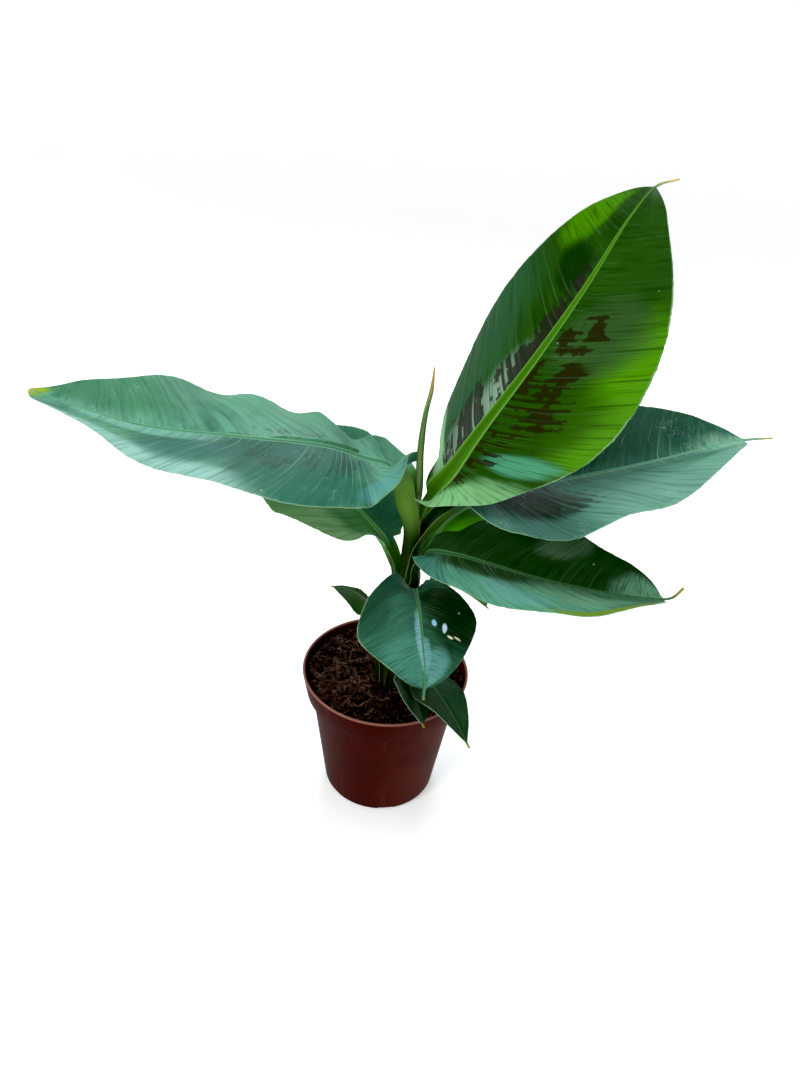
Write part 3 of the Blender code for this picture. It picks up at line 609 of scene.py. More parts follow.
# %% Helper for shader nodes
class Recipe:
    def __init__(self, name):
        self.material = bpy.data.materials.new(name)
        self.material.use_nodes = True
        self.nodes = self.material.node_tree.nodes
        self.links = self.material.node_tree.links
        self.shader = self.nodes["Principled BSDF"]

    def add(self, kind, output=0, settings=(), **inputs):
        node = self.nodes.new("ShaderNode" + kind)
        for key, value in settings:
            setattr(node, key, value)
        for key, value in inputs.items():
            self.put(node.inputs[int(key[1:])] if key[1:].isdigit() else node.inputs[key], value)
        return node.outputs[output]

    def put(self, socket, value):
        if isinstance(value, bpy.types.NodeSocket):
            self.links.new(value, socket)
        elif isinstance(value, tuple) and len(value) == 3 and socket.type == "RGBA":
            socket.default_value = (*value, 1.0)
        else:
            socket.default_value = value

    def math(self, operation, a, b=0.0):
        return self.add("Math", settings=[("operation", operation)], _0=a, _1=b)

    def band(self, x, low, high):
        """0 below low, 1 above high, and a soft step between."""
        made = self.add("MapRange", settings=[("interpolation_type", "SMOOTHSTEP")], Value=x)
        node = made.node
        node.inputs["From Min"].default_value = min(low, high)
        node.inputs["From Max"].default_value = max(low, high)
        return made if high > low else self.minus(1.0, made)

    def mix(self, share, a, b):
        made = self.add("Mix", output=2, settings=[("data_type", "RGBA")])
        node = made.node
        for socket, value in ((node.inputs[0], share), (node.inputs[6], a), (node.inputs[7], b)):
            self.put(socket, value)
        return made

    def point(self, x, y, z=0.0):
        return self.add("CombineXYZ", _0=x, _1=y, _2=z)

    def noise(self, vector, scale, detail=3.0, rough=0.55):
        return self.add("TexNoise", Vector=vector, Scale=scale, Detail=detail, Roughness=rough)

    def plus(self, a, b):
        return self.math("ADD", a, b)

    def minus(self, a, b):
        return self.math("SUBTRACT", a, b)

    def times(self, *factors):
        product = factors[0]
        for factor in factors[1:]:
            product = self.math("MULTIPLY", product, factor)
        return product

    def over(self, colour, shade, *shares):
        """Lay a shade over the colour; its strength is the product of the shares."""
        return self.mix(self.times(*shares), colour, shade)

    def spot(self):
        """The place on the object, in metres."""
        return self.add("TexCoord", output=3)

    def axes(self, vector):
        return self.add("SeparateXYZ", Vector=vector).node.outputs


# %% [markdown]
# ## Colour, gloss and relief
# What tells plastic from a leaf or from peat is its colour, how sharply it mirrors and how rough it feels. All of
# them go through the same few inputs of one shader, so one helper sets these, and the relief is a bump and not real
# geometry, because it is finer than the mesh.

# %% Helpers for finishes
def scaled(colour, factor, lift=0.0):
    """The same colour lighter or darker."""
    return tuple(min(1.0, c * factor + lift) for c in colour)


def shine(recipe, colour, roughness, bump=None, strength=0.3, distance=0.0003, specular=0.5):
    """Set a shader's colour, its gloss and the relief of its surface."""
    recipe.put(recipe.shader.inputs["Base Color"], colour)
    recipe.put(recipe.shader.inputs["Specular IOR Level"], specular)
    recipe.put(recipe.shader.inputs["Roughness"], roughness)
    if bump is not None:
        relief = recipe.add("Bump", Height=bump, Strength=strength, Distance=distance)
        recipe.put(recipe.shader.inputs["Normal"], relief)


# %% [markdown]
# ## Leaf surface
# A banana leaf is never one green. The blade is deep green between close side veins, with a blue-grey bloom of wax
# on the upper face, paler streaks along some veins, a thin pale margin, and on this kind dark red-brown blotches
# beside the midrib, whose long edges follow the veins. A young leaf held up to the light glows yellow-green. Light
# and shade are painted in as well: soft patches of painted glow, painted reflections, painted highlights of water
# drops and painted shadows. Each look below says how much of each its two halves have. The pattern could be
# painted, but a recipe in the leaf's own coordinates stays sharp at any size and bends with the leaf.

# %% Colours of the upper leaves
BLOTCH = (0.014, 0.01, 0.003)
GREY_BLOTCH = (0.015, 0.014, 0.01)
PALE = (0.3, 0.5, 0.3)
DRY = (0.42, 0.33, 0.06)
# A painted reflection of the sky, for leaves that lie flat
PAINTED_SKY_REFLECTION = (0.17, 0.4, 0.44)
# A painted shadow, laid as a dark oval on the top right leaf
PAINTED_SHADOW = (0.003, 0.018, 0.002)
GLOW = (0.16, 0.42, 0.01)
STEM_GREEN = (0.075, 0.215, 0.012)
SHEATH_GREEN = (0.013, 0.034, 0.004)
MOUTH_GREEN = (0.055, 0.15, 0.01)
MOUTH_HEIGHTS = (0.205, 0.235)
VEIN_SWEEP = (0.22, 0.22)
DRY_TIP = (0.93, 0.985)
THROUGH = 0.3
UNDER_SPECULAR = 0.06

# What each value of a look means:
# deep, light    the two greens between which the blade varies, and veiled, how much of the light one shows
# veins          strength of the pale side veins on the left and the right half, seen from the stem
# sweep          how far the side veins lean towards the tip, left and right; it also sets the grid's rows
# grain          strength of the dark lines between the veins; scuffs, of thin white scratches; dust, of specks
# rib            colour of the midrib; rib_half, half its width in mm at the blade's base and how much that shrinks
# brown          ovals in which dark blotches lie: (place, size), place and size as shares across and along
# brown_share    how dark the blotches are; brown_level, how rare; brown_even, how little their ends differ
# patches        soft ovals of another colour, among them painted glow, reflections, highlights and shadows:
#                (place, size, colour, strength); across, the left half is positive
# rim            strength of a bright strip along the margin, left and right
# stem, mouth    colours of the petiole's channel and of the sheath's outside near its top; under, the green from
#                which the underside is made, where it isn't the deep one
# bright         heights in metres between which the outside of the sheath turns from dark to bright
# dry            shares along the leaf between which the tip turns dry
# specular       strength of the reflections; through, the share of light that passes through the sheet
LOOKS = {
    "leaf_top_right": dict(
        deep=(0.007, 0.036, 0.001), light=(0.018, 0.074, 0.006), veiled=0.6, veins=(0.15, 0.12),
        rib=(0.046, 0.16, 0.006), rib_half=(8.6, 9.0), specular=0.04, sweep=(0.27, 0.17), through=0.14, dust=0.2,
        brown=[((0.12, 0.4), (0.32, 0.36)), ((-0.2, 0.44), (0.44, 0.17)), ((-0.14, 0.2), (0.32, 0.13)),
               ((-0.34, 0.63), (0.26, 0.05))],
        brown_even=0.35,
        patches=[((0.14, 0.34), (0.26, 0.3), (0.2, 0.31, 0.23), 0.8),
                 ((0.85, 0.4), (0.6, 0.3), (0.015, 0.078, 0.027), 0.85),
                 # painted glow of light passing through the upper left of the blade
                 ((0.8, 0.83), (0.32, 0.08), (0.046, 0.185, 0.001), 0.95),
                 ((0.8, 0.955), (0.6, 0.03), (0.3, 0.42, 0.3), 0.8),
                 # painted shadow across the left half
                 ((0.4, 0.76), (0.3, 0.04), PAINTED_SHADOW, 0.85),
                 # painted glow of light passing through the right margin
                 ((-1.04, 0.46), (0.48, 0.22), (0.056, 0.22, 0.001), 1.0),
                 ((-0.5, 0.62), (0.42, 0.09), (0.03, 0.078, 0.02), 0.7),
                 ((-0.5, 0.42), (0.4, 0.12), (0.016, 0.062, 0.002), 0.8),
                 ((-0.6, 0.25), (0.36, 0.05), (0.06, 0.26, 0.14), 0.95),
                 ((-0.85, 0.09), (0.55, 0.09), (0.15, 0.37, 0.15), 0.9),
                 ((-0.2, 0.12), (0.24, 0.08), (0.02, 0.075, 0.01), 0.8),
                 ((0.55, 0.12), (0.6, 0.1), (0.24, 0.48, 0.26), 0.85)],
    ),
    "leaf_top_left": dict(
        deep=(0.036, 0.14, 0.092), light=(0.12, 0.33, 0.23), veiled=1.0, veins=(1.0, 0.45),
        rib=(0.085, 0.27, 0.15), rib_half=(3.6, 2.8), specular=0.05, grain=0.45, sweep=(0.13, 0.27),
        mouth=(0.2, 0.43, 0.06), bright=(0.212, 0.242), dry=(0.975, 1.0), scuffs=0.4,
        brown=[((0.25, 0.34), (0.26, 0.26)), ((-0.2, 0.52), (0.08, 0.09))], brown_share=0.4, brown_level=0.66,
        patches=[((0.3, 0.45), (0.44, 0.36), (0.02, 0.095, 0.078), 0.85),
                 ((1.0, 0.66), (0.26, 0.34), (0.29, 0.52, 0.48), 0.85),
                 ((0.75, 0.28), (0.35, 0.16), (0.022, 0.13, 0.092), 0.85),
                 # painted blue sheen: the room mirrored where the blade lies flat
                 ((0.8, 0.13), (0.16, 0.05), (0.11, 0.33, 0.34), 0.55),
                 ((-0.75, 0.85), (0.6, 0.16), (0.05, 0.2, 0.1), 0.75),
                 ((-0.8, 0.45), (0.4, 0.22), (0.1, 0.3, 0.18), 0.5),
                 ((0.08, 0.74), (0.2, 0.16), (0.21, 0.45, 0.38), 0.6),
                 ((0.55, 0.6), (0.3, 0.1), (0.036, 0.15, 0.13), 0.7),
                 ((0.0, 0.99), (1.2, 0.035), (0.25, 0.37, 0.02), 0.95)],
    ),
    "leaf_middle_right": dict(
        deep=(0.018, 0.085, 0.06), light=(0.06, 0.2, 0.14), veiled=0.8, veins=(0.7, 0.6),
        rib=(0.11, 0.32, 0.2), rib_half=(2.4, 2.0), specular=0.05, grain=0.5, stem=(0.014, 0.045, 0.004),
        brown=[((-0.3, 0.36), (0.36, 0.18))], brown_share=0.8, brown_level=0.66, brown_even=0.5, scuffs=0.7,
        # the pale blue-green front half: partly wax, partly a painted reflection of the room
        patches=[((-0.85, 0.58), (0.35, 0.42), (0.16, 0.39, 0.29), 0.7),
                 ((-0.45, 0.52), (0.3, 0.22), (0.12, 0.31, 0.25), 0.7),
                 ((-0.75, 0.24), (0.4, 0.12), (0.04, 0.13, 0.105), 0.8),
                 # painted shade beside the edge of the top right leaf
                 ((-0.34, 0.3), (0.34, 0.15), (0.005, 0.017, 0.007), 1.0),
                 ((0.7, 0.55), (0.5, 0.35), (0.014, 0.07, 0.045), 0.75),
                 ((0.0, 0.92), (0.8, 0.14), (0.23, 0.46, 0.34), 0.75)],
    ),
    "leaf_rear_right": dict(
        deep=(0.075, 0.36, 0.002), light=(0.11, 0.41, 0.008), veiled=0.6, veins=(0.3, 0.3),
        rib=(0.3, 0.52, 0.25), rib_half=(1.4, 1.0), specular=0.04, brown=[], under=(0.018, 0.07, 0.008),
        patches=[((0.0, 0.75), (1.8, 0.42), (0.026, 0.105, 0.02), 1.0)],
    ),
}
print("looks for", len(LOOKS), "leaves")

# %% [markdown]
# ## Looks of the middle leaves
# The lower leaves are older and darker, and where they lie flat they mirror the pale room. That is painted into
# their colour as soft blue-green areas of painted reflection. The front leaf is dark on its left half, and has a
# few bright specks and painted highlights of water drops. The areas could come from reflections alone, but then
# they would move with every change of the lamps.

# %% Colours of the middle leaves
SMALL_LEAF = dict(rib_half=(1.1, 0.8), specular=0.05, brown=[], patches=[])
LOOKS |= {
    "leaf_lower_right": dict(
        deep=(0.013, 0.036, 0.008), light=(0.024, 0.08, 0.026), veiled=0.5, veins=(0.25, 0.9),
        rib=(0.055, 0.16, 0.055), rib_half=(1.9, 1.6), specular=0.05, brown=[], rim=(0.0, 1.0), dust=0.9,
        stem=(0.014, 0.045, 0.004),
        # painted reflection of the room where the front half lies flat
        patches=[((-0.85, 0.35), (0.6, 0.4), (0.09, 0.3, 0.21), 1.0),
                 ((-0.45, 0.72), (0.45, 0.2), (0.16, 0.4, 0.24), 0.85),
                 # painted reflection of the sky
                 ((-0.6, 0.42), (0.3, 0.1), PAINTED_SKY_REFLECTION, 0.3),
                 ((-0.15, 0.35), (0.22, 0.22), (0.01, 0.038, 0.008), 0.9),
                 # painted blue sheen near the base of the front half
                 ((-0.6, 0.1), (0.6, 0.08), (0.03, 0.15, 0.12), 0.7),
                 ((-0.4, 0.84), (0.6, 0.14), (0.074, 0.225, 0.13), 0.9),
                 ((0.2, 0.9), (0.7, 0.13), (0.18, 0.44, 0.28), 0.95),
                 ((0.75, 0.58), (0.32, 0.09), (0.11, 0.2, 0.11), 1.0)],
    ),
    "leaf_lower_left": dict(
        deep=(0.044, 0.16, 0.04), light=(0.11, 0.29, 0.11), veiled=0.7, veins=(0.5, 0.4),
        rib=(0.2, 0.44, 0.16), rib_half=(1.9, 1.6), specular=0.05, brown=[],
        mouth=(0.05, 0.18, 0.014), bright=(0.18, 0.205),
        patches=[((0.9, 0.5), (0.45, 0.42), (0.32, 0.54, 0.26), 0.95),
                 ((-0.6, 0.4), (0.7, 0.6), (0.04, 0.15, 0.11), 0.9)],
    ),
    "leaf_small_right": dict(
        SMALL_LEAF, deep=(0.012, 0.055, 0.01), light=(0.04, 0.11, 0.04), veiled=0.5, veins=(0.4, 0.4),
        rib=(0.12, 0.28, 0.08),
    ),
    "leaf_front": dict(
        deep=(0.01, 0.055, 0.014), light=(0.034, 0.135, 0.085), veiled=0.8, veins=(0.3, 0.5),
        rib=(0.075, 0.21, 0.08), rib_half=(1.5, 1.2), specular=0.06, sweep=(0.27, 0.27), through=0.15, brown=[],
        dry=(0.985, 1.0),
        patches=[((0.7, 0.38), (0.75, 0.3), (0.003, 0.013, 0.001), 0.97),
                 ((-0.5, 0.5), (0.6, 0.5), (0.04, 0.15, 0.098), 0.85),
                 ((-0.45, 0.74), (0.6, 0.16), (0.07, 0.26, 0.19), 0.85),
                 ((-0.75, 0.36), (0.3, 0.14), (0.014, 0.066, 0.038), 0.75),
                 ((-0.8, 0.2), (0.6, 0.14), (0.01, 0.05, 0.026), 0.8),
                 # painted blue sheen beside the midrib: the room mirrored in the blade
                 ((-0.03, 0.66), (0.1, 0.16), (0.2, 0.45, 0.5), 0.9),
                 ((0.08, 0.74), (0.16, 0.09), (0.18, 0.43, 0.46), 0.7),
                 ((0.45, 0.8), (0.4, 0.12), (0.13, 0.36, 0.34), 0.7),
                 # painted highlights of water drops on the blade
                 ((0.27, 0.56), (0.05, 0.02), (0.28, 0.6, 0.86), 1.0),
                 ((0.47, 0.565), (0.045, 0.03), (0.56, 0.78, 0.95), 1.0),
                 ((0.6, 0.6), (0.06, 0.007), (0.76, 0.8, 0.5), 1.0),
                 ((0.74, 0.585), (0.07, 0.006), (0.7, 0.76, 0.45), 0.9)],
    ),
}
print("looks for", len(LOOKS), "leaves")

# %% [markdown]
# ## Looks of the leaves at the foot
# The small leaves stand in the shade of the others and are nearly plain dark green. What they have in common is said
# once, in the row of values that the small leaf above them uses too.

# %% Colours of the leaves at the foot
LOOKS |= {
    "leaf_small_left": dict(
        SMALL_LEAF, deep=(0.012, 0.055, 0.006), light=(0.026, 0.09, 0.01), veiled=0.5, veins=(0.3, 0.3),
        rib=(0.06, 0.17, 0.03),
    ),
    "leaf_small_front_right": dict(
        deep=(0.006, 0.034, 0.006), light=(0.02, 0.07, 0.026), veiled=0.6, veins=(0.4, 0.3),
        rib=(0.05, 0.16, 0.045), rib_half=(1.1, 0.8), specular=0.05, brown=[],
        patches=[((0.6, 0.55), (0.4, 0.3), (0.035, 0.11, 0.055), 0.6)],
    ),
    "leaf_small_front": dict(
        SMALL_LEAF, deep=(0.006, 0.028, 0.004), light=(0.016, 0.055, 0.014), veiled=0.5, veins=(0.3, 0.3),
        rib=(0.045, 0.13, 0.035),
    ),
}
print("looks for", len(LOOKS), "leaves")

# %% [markdown]
# ## Light that passes through a leaf
# A thin leaf glows where light falls on its other side. Subsurface scattering could do this, but it is slow and is
# made for thick bodies. For a thin sheet, a translucent shader that is mixed with the main one is enough.

# %% Light through a leaf
def light_through(r, colour, share):
    """Let part of the light pass through the sheet, tinted by it."""
    through = r.add("BsdfTranslucent", Color=colour)
    both = r.add("MixShader", _0=share, _1=r.shader.outputs[0], _2=through)
    r.links.new(both, r.nodes["Material Output"].inputs["Surface"])


# %% [markdown]
# ## Patterns that follow the veins
# Every row of a leaf's grid is a side vein, so a pattern that is stretched across the leaf and short along it runs
# with the veins. The red-brown blotches of a young banana leaf are cut off square by the veins, which gives them
# comb-like ends: a random number for each narrow strip between two veins moves the blotch's end in that strip.

# %% Helpers for patterns on a leaf
# How many strips with an end of their own, and how many pale side veins, a blade has along its length
STRIPS = 135.0
SIDE_VEINS = 44.0


class LeafRecipe(Recipe):
    """A recipe that knows where on its leaf it is: u across, v along, and the distance from the midrib in mm."""

    def __init__(self, name, seed):
        super().__init__(name)
        self.seed = seed
        self.u, self.v = self.pair("leaf")
        self.across, self.length = self.pair("size")
        self.from_rib = self.times(self.math("ABSOLUTE", self.across), ACROSS_UNIT)
        self.reach = self.math("ABSOLUTE", self.u)
        self.left = self.band(self.u, -0.02, 0.02)
        self.fine = self.stretched(190.0, 1.6, 0.0, 2.0)
        self.streak = self.stretched(46.0, 1.3, 3.0, 3.0)
        self.broad = self.stretched(9.0, 2.2, 5.0, 3.0)
        self.cloud = self.noise(self.spot(), 22.0, 4.0, 0.6)

    def pair(self, map_name):
        return self.axes(self.add("UVMap", settings=[("uv_map", map_name)]))[:2]

    def stretched(self, along, across, shift, detail):
        place = self.point(self.times(self.v, along), self.times(self.u, across), self.seed + shift)
        return self.noise(place, 1.0, detail, 0.6)

    def by_side(self, pair):
        return self.plus(self.times(self.left, pair[0] - pair[1]), pair[1])

    def oval(self, place, size, uneven=0.8):
        """1 inside an oval, 0 well outside it or across the midrib, with an edge that the veins make uneven."""
        du = self.math("DIVIDE", self.minus(self.u, place[0]), size[0])
        dv = self.math("DIVIDE", self.minus(self.v, place[1]), size[1])
        away = self.plus(self.times(du, du), self.times(dv, dv))
        rough = self.plus(self.minus(self.streak, 0.5), self.minus(self.broad, 0.5))
        inside = self.band(self.plus(away, self.times(rough, uneven)), 1.4, 0.3)
        if place[0] == 0:
            return inside
        return self.times(inside, self.left if place[0] > 0 else self.minus(1.0, self.left))

    def brown_blotches(self, ovals, threshold, even):
        """Blotches whose ends differ from strip to strip between the veins."""
        strip = self.math("FLOOR", self.times(self.v, STRIPS))
        chance = self.add("TexWhiteNoise", settings=[("noise_dimensions", "1D")],
                          W=self.plus(strip, self.times(self.left, 500.0)))
        patch = self.stretched(13.0, 4.0, 11.0, 2.0)
        inside = self.oval(*ovals[0])
        for oval in ovals[1:]:
            inside = self.math("MAXIMUM", inside, self.oval(*oval))
        uneven = self.times(self.minus(chance, 0.5), 0.3 * (1 - 0.6 * even))
        level = self.plus(patch, uneven)
        level = self.plus(level, self.times(inside, 0.145 + 0.06 * even))
        return self.times(self.band(level, threshold, threshold + 0.02), self.band(inside, 0.0, 0.3))

    def side_veins(self):
        """Thin pale lines at uneven distances, which fade towards the margin and come and go."""
        wander = self.times(self.noise(self.point(self.times(self.v, 9.0), 0.0, self.seed), 1.0), 2.0)
        saw = self.math("PINGPONG", self.plus(self.times(self.v, SIDE_VEINS), wander), 0.5)
        here = self.band(self.stretched(17.0, 1.2, 31.0, 1.0), 0.46, 0.6)
        return self.times(self.band(saw, 0.065, 0.025), here,
                          self.band(self.reach, 1.0, 0.25), self.band(self.v, 0.95, 0.75))

    def scratches(self):
        """Thin white curved lines where the wax is rubbed off, in loose groups."""
        lines = 0.0
        for along, across, shift in ((62.0, 3.0, 51.0), (26.0, 7.0, 57.0)):
            near = self.math("ABSOLUTE", self.minus(self.stretched(along, across, shift, 2.0), 0.5))
            lines = self.plus(lines, self.band(near, 0.012, 0.002))
        groups = self.noise(self.spot(), 34.0, 4.0, 0.65)
        return self.times(self.math("MINIMUM", lines, 1.0), self.band(groups, 0.5, 0.64))

    def finish(self, colour, rough, height, specular, share):
        shine(self, colour, rough, height, 0.35, 0.0004, specular)
        light_through(self, self.mix(0.45, colour, GLOW), share)
        return self.material


# %% [markdown]
# ## Midrib and dust
# Seen from above, the midrib is a pale green band with a darker channel along its middle and a lit line at each
# edge. The ridges are there in the mesh too, but they are so low that the light alone wouldn't draw them. Dust and
# dried drops leave small pale specks in loose groups.

# %% Midrib and dust
def midrib(r, colour, look):
    """The midrib's green band, a darker channel along its middle, and a pale line at each edge."""
    base, shrink = look["rib_half"]
    half = r.math("MAXIMUM", r.minus(base, r.times(r.v, shrink)), 0.35)
    share = r.math("DIVIDE", r.from_rib, half)
    colour = r.mix(r.band(share, 1.1, 0.9), colour, look["rib"])
    channel = r.times(r.band(share, 0.75, 0.2), r.band(r.v, 0.85, 0.5))
    colour = r.over(colour, scaled(look["rib"], 0.5), channel, 0.6)
    edge = r.times(r.band(share, 0.76, 0.9), r.band(share, 1.12, 0.98))
    return r.over(colour, scaled(look["rib"], 1.6, 0.06), edge, 0.75)


def dust(r):
    """Small pale specks that lie in a few loose groups."""
    spots = r.add("TexVoronoi", Vector=r.spot(), Scale=150.0)
    groups = r.noise(r.spot(), 45.0, 2.0, 0.5)
    return r.times(r.band(spots, 0.12, 0.07), r.band(groups, 0.6, 0.68))


# %% [markdown]
# ## The upper face of a blade
# The greens come first, then soft patches of wax, of painted sheen and reflections, of painted glow where light
# passes through thin young tissue and of painted shadow, then the brown blotches, and on top of them what is never
# covered: the side veins, the midrib with its two pale edges, the thin white margin, the dry tip, and a little dust.
# Mixing in that order is how a painter would lay the colours too.

# %% Upper face
def upper_face(name, look, seed):
    r = LeafRecipe(name + "_upper", seed)
    middle = tuple((a + b) / 2 for a, b in zip(look["deep"], look["light"]))
    colour = r.mix(r.band(r.broad, 0.3, 0.72), look["deep"], middle)
    veil = r.band(r.plus(r.times(r.cloud, 0.55), r.times(r.streak, 0.45)), 0.36, 0.64)
    colour = r.over(colour, look["light"], veil, look["veiled"])
    # Soft patches: the leaf's own colour zones, and painted glow, reflections, highlights and shadows
    for place, size, shade, strength in look["patches"]:
        texture = r.plus(r.times(r.fine, 0.7), 0.65)
        colour = r.over(colour, shade, r.oval(place, size), texture, strength)
    if look["brown"]:
        blotches = r.brown_blotches(look["brown"], look.get("brown_level", 0.64), look.get("brown_even", 0.0))
        brown = r.mix(r.left, BLOTCH, GREY_BLOTCH)
        colour = r.over(colour, brown, blotches, 0.9 * look.get("brown_share", 1.0))
    grain = r.minus(r.fine, 0.5)
    colour = r.over(colour, scaled(look["deep"], 0.5), r.band(grain, 0.02, -0.22), look.get("grain", 0.6))
    colour = r.over(colour, PALE, r.band(grain, 0.08, 0.22), 0.2, r.by_side(look["veins"]))
    colour = r.over(colour, PALE, r.side_veins(), 0.55, r.by_side(look["veins"]))
    if look.get("scuffs"):
        colour = r.over(colour, (0.4, 0.6, 0.58), r.scratches(), 0.55 * look["scuffs"])
    colour = r.over(colour, (0.15, 0.29, 0.03), r.by_side(look.get("rim", (0, 0))),
                    r.band(r.reach, 0.88, 0.92), r.band(r.v, 0.4, 0.52))
    colour = r.over(colour, PALE, r.band(r.reach, 0.982, 0.995), r.band(r.broad, 0.35, 0.6), 0.55)
    colour = midrib(r, colour, look)
    colour = r.over(colour, look.get("stem", STEM_GREEN), r.band(r.v, 0.0, -0.06), 0.85)
    colour = r.over(colour, (0.22, 0.36, 0.12), r.band(r.v, -0.005, -0.05), r.band(r.reach, 0.9, 0.97), 0.5)
    colour = r.mix(r.band(r.v, *look.get("dry", DRY_TIP)), colour, DRY)
    colour = r.over(colour, (0.6, 0.72, 0.68), dust(r), look.get("dust", 0.5))
    rough = r.plus(r.times(r.cloud, 0.22), 0.27)
    height = r.plus(r.times(r.fine, 0.7), r.streak)
    return r.finish(colour, rough, height, look["specular"], look.get("through", THROUGH))


# %% [markdown]
# ## The underside, the sheath and the petiole
# The underside of the blade is paler and duller than the upper face, and its keel paler still. Further down the
# same face is the outside of the stem, striped lengthwise, with a pale papery margin where the sheath ends. One
# recipe covers all of it, because the share along the leaf says where the sheath stops and the blade starts.

# %% Under face
def under_face(name, look, seed):
    r = LeafRecipe(name + "_under", seed)
    grain = r.noise(r.point(r.times(r.across, 190.0), r.times(r.length, 14.0), seed), 1.0, 2.0, 0.6)
    deep = look.get("under", look["deep"])
    colour = r.mix(r.band(r.cloud, 0.3, 0.7), scaled(deep, 1.6, 0.008), scaled(deep, 2.3, 0.02))
    colour = r.over(colour, PALE, r.band(r.fine, 0.55, 0.7), 0.3)
    colour = r.mix(r.band(r.from_rib, 4.5, 2.5), colour, scaled(look["rib"], 0.9))
    height_above = r.axes(r.spot())[2]
    mouth = look.get("mouth", MOUTH_GREEN)
    stem = r.mix(r.band(grain, 0.35, 0.7), scaled(SHEATH_GREEN, 0.55), scaled(SHEATH_GREEN, 1.5))
    bright = r.mix(grain, scaled(mouth, 0.5), mouth)
    stem = r.mix(r.band(height_above, *look.get("bright", MOUTH_HEIGHTS)), stem, bright)
    stem = r.over(stem, (0.01, 0.016, 0.003), r.band(r.cloud, 0.58, 0.74), 0.5)
    stem = r.over(stem, (0.016, 0.01, 0.005), r.band(height_above, 0.128, 0.104), r.band(grain, 0.62, 0.5))
    stem = r.over(stem, (0.24, 0.33, 0.11), r.band(r.reach, 0.955, 0.98), 0.8)
    colour = r.mix(r.band(r.v, 0.02, -0.08), colour, stem)
    colour = r.over(colour, PALE, r.band(r.reach, 0.97, 0.992), r.band(r.v, -0.02, 0.02))
    colour = r.mix(r.band(r.v, *look.get("dry", DRY_TIP)), colour, DRY)
    rough = r.plus(r.times(r.cloud, 0.2), 0.36)
    height = r.plus(r.times(r.fine, 0.6), grain)
    return r.finish(colour, rough, height, UNDER_SPECULAR, look.get("through", THROUGH))


# %% [markdown]
# ## Make the leaves
# Each packed leaf is replaced by its fine sheet, which has the same route, widths and folds. It rides on the root
# body, and the packed leaf is hidden.

# %% Make every leaf
SEED_STEP = 7.3
faces_made = 0
for number, leaf in enumerate(LEAVES):
    look, seed = LOOKS[leaf["name"]], number * SEED_STEP
    rows, thick, leaf_map, size_map = leaf_grid({**leaf, "sweep": look.get("sweep", VEIN_SWEEP)})
    faces = [upper_face(leaf["name"], look, seed), under_face(leaf["name"], look, seed)]
    piece = closed_shell(leaf["name"] + "_blade", rows, thick, {"leaf": leaf_map, "size": size_map}, faces)
    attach(piece, "root")
    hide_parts(leaf["name"])
    faces_made += len(piece.data.polygons)
print("leaves hold", faces_made, "faces")

# %% [markdown]
# ## The spear leaf
# The next leaf stands rolled up in the middle of the stem like a furled umbrella. Its outer turn shows as a thin
# spiral edge, and its tip, which dries first, is yellow-brown. A tapered tube with a spiral step in its radius
# gives both the roll and the line of the overlap.

# %% Rolled spear
SPEAR_TOP = ((13, 2.5, 250), (12, 2.5, 276), (13, 2.5, 300), (15.5, 2.5, 316), (16, 2.5, 330))
SPEAR_TOP_RADII = (2.9, 2.4, 1.9, 1.5, 0.5)
SPEAR_FREE = 226
SPEAR_SIDES = 28
SEAM_TURN = 0.055


def spear_rows():
    heights = np.append(STEM_FOOT, np.linspace(SOIL_TOP, SPEAR_FREE, 8))
    line = through(np.vstack([stem_axis(heights), SPEAR_TOP]))
    stations = [*heights, *(point[2] for point in SPEAR_TOP)]
    low_radii = np.linspace(CORE_RADIUS, SPEAR_TOP_RADII[0], len(heights))
    radii = np.interp(line[:, 2], stations, [*low_radii, *SPEAR_TOP_RADII])
    turns = np.linspace(0, 2 * np.pi, SPEAR_SIDES + 1)
    rows, maps = [], []
    for (x, y, z), radius in zip(line, radii):
        step = np.mod(turns - SEAM_TURN * z, 2 * np.pi) / (2 * np.pi)
        ring = (radius - 0.1) * (1 - 0.1 * step)
        rows.append(np.stack([x + ring * np.cos(turns), y + ring * np.sin(turns), np.full_like(turns, z)], -1))
        maps.append(np.stack([step, np.full_like(turns, (z - STEM_FOOT) / (SPEAR_TOP[-1][2] - STEM_FOOT))], -1))
    return np.array(rows), np.array(maps)


print("spear:", len(spear_rows()[0]), "rings of", SPEAR_SIDES, "points")

# %% [markdown]
# ## The spear's skin
# The rolled leaf is striped lengthwise by its veins, yellow-green inside the stem and darker above it, with a pale
# line where the outer turn ends and a dry tip. Two map coordinates say where on the roll a point is: how far round,
# and how far up.

# %% Surface of the spear
def spear_surface():
    r = Recipe("spear_leaf")
    step, v = r.axes(r.add("UVMap", settings=[("uv_map", "leaf")]))[:2]
    streak = r.noise(r.point(r.times(step, 24.0), r.times(v, 9.0), 2.0), 1.0, 3.0, 0.6)
    colour = r.mix(r.band(streak, 0.3, 0.7), (0.026, 0.075, 0.008), (0.075, 0.17, 0.02))
    colour = r.mix(r.band(v, 0.62, 0.52), colour, (0.1, 0.24, 0.02))
    colour = r.over(colour, (0.4, 0.52, 0.22), r.band(step, 0.93, 0.985), 0.9)
    colour = r.mix(r.band(v, 0.9, 0.99), colour, (0.34, 0.22, 0.03))
    shine(r, colour, 0.42, streak)
    return r.material


# %% [markdown]
# ## Close the roll
# Rings of points become a tube once each is joined to the next and both ends are closed by a fan. The same faces
# between rings serve for the soil and the paper bowl further down, so they have a function of their own.

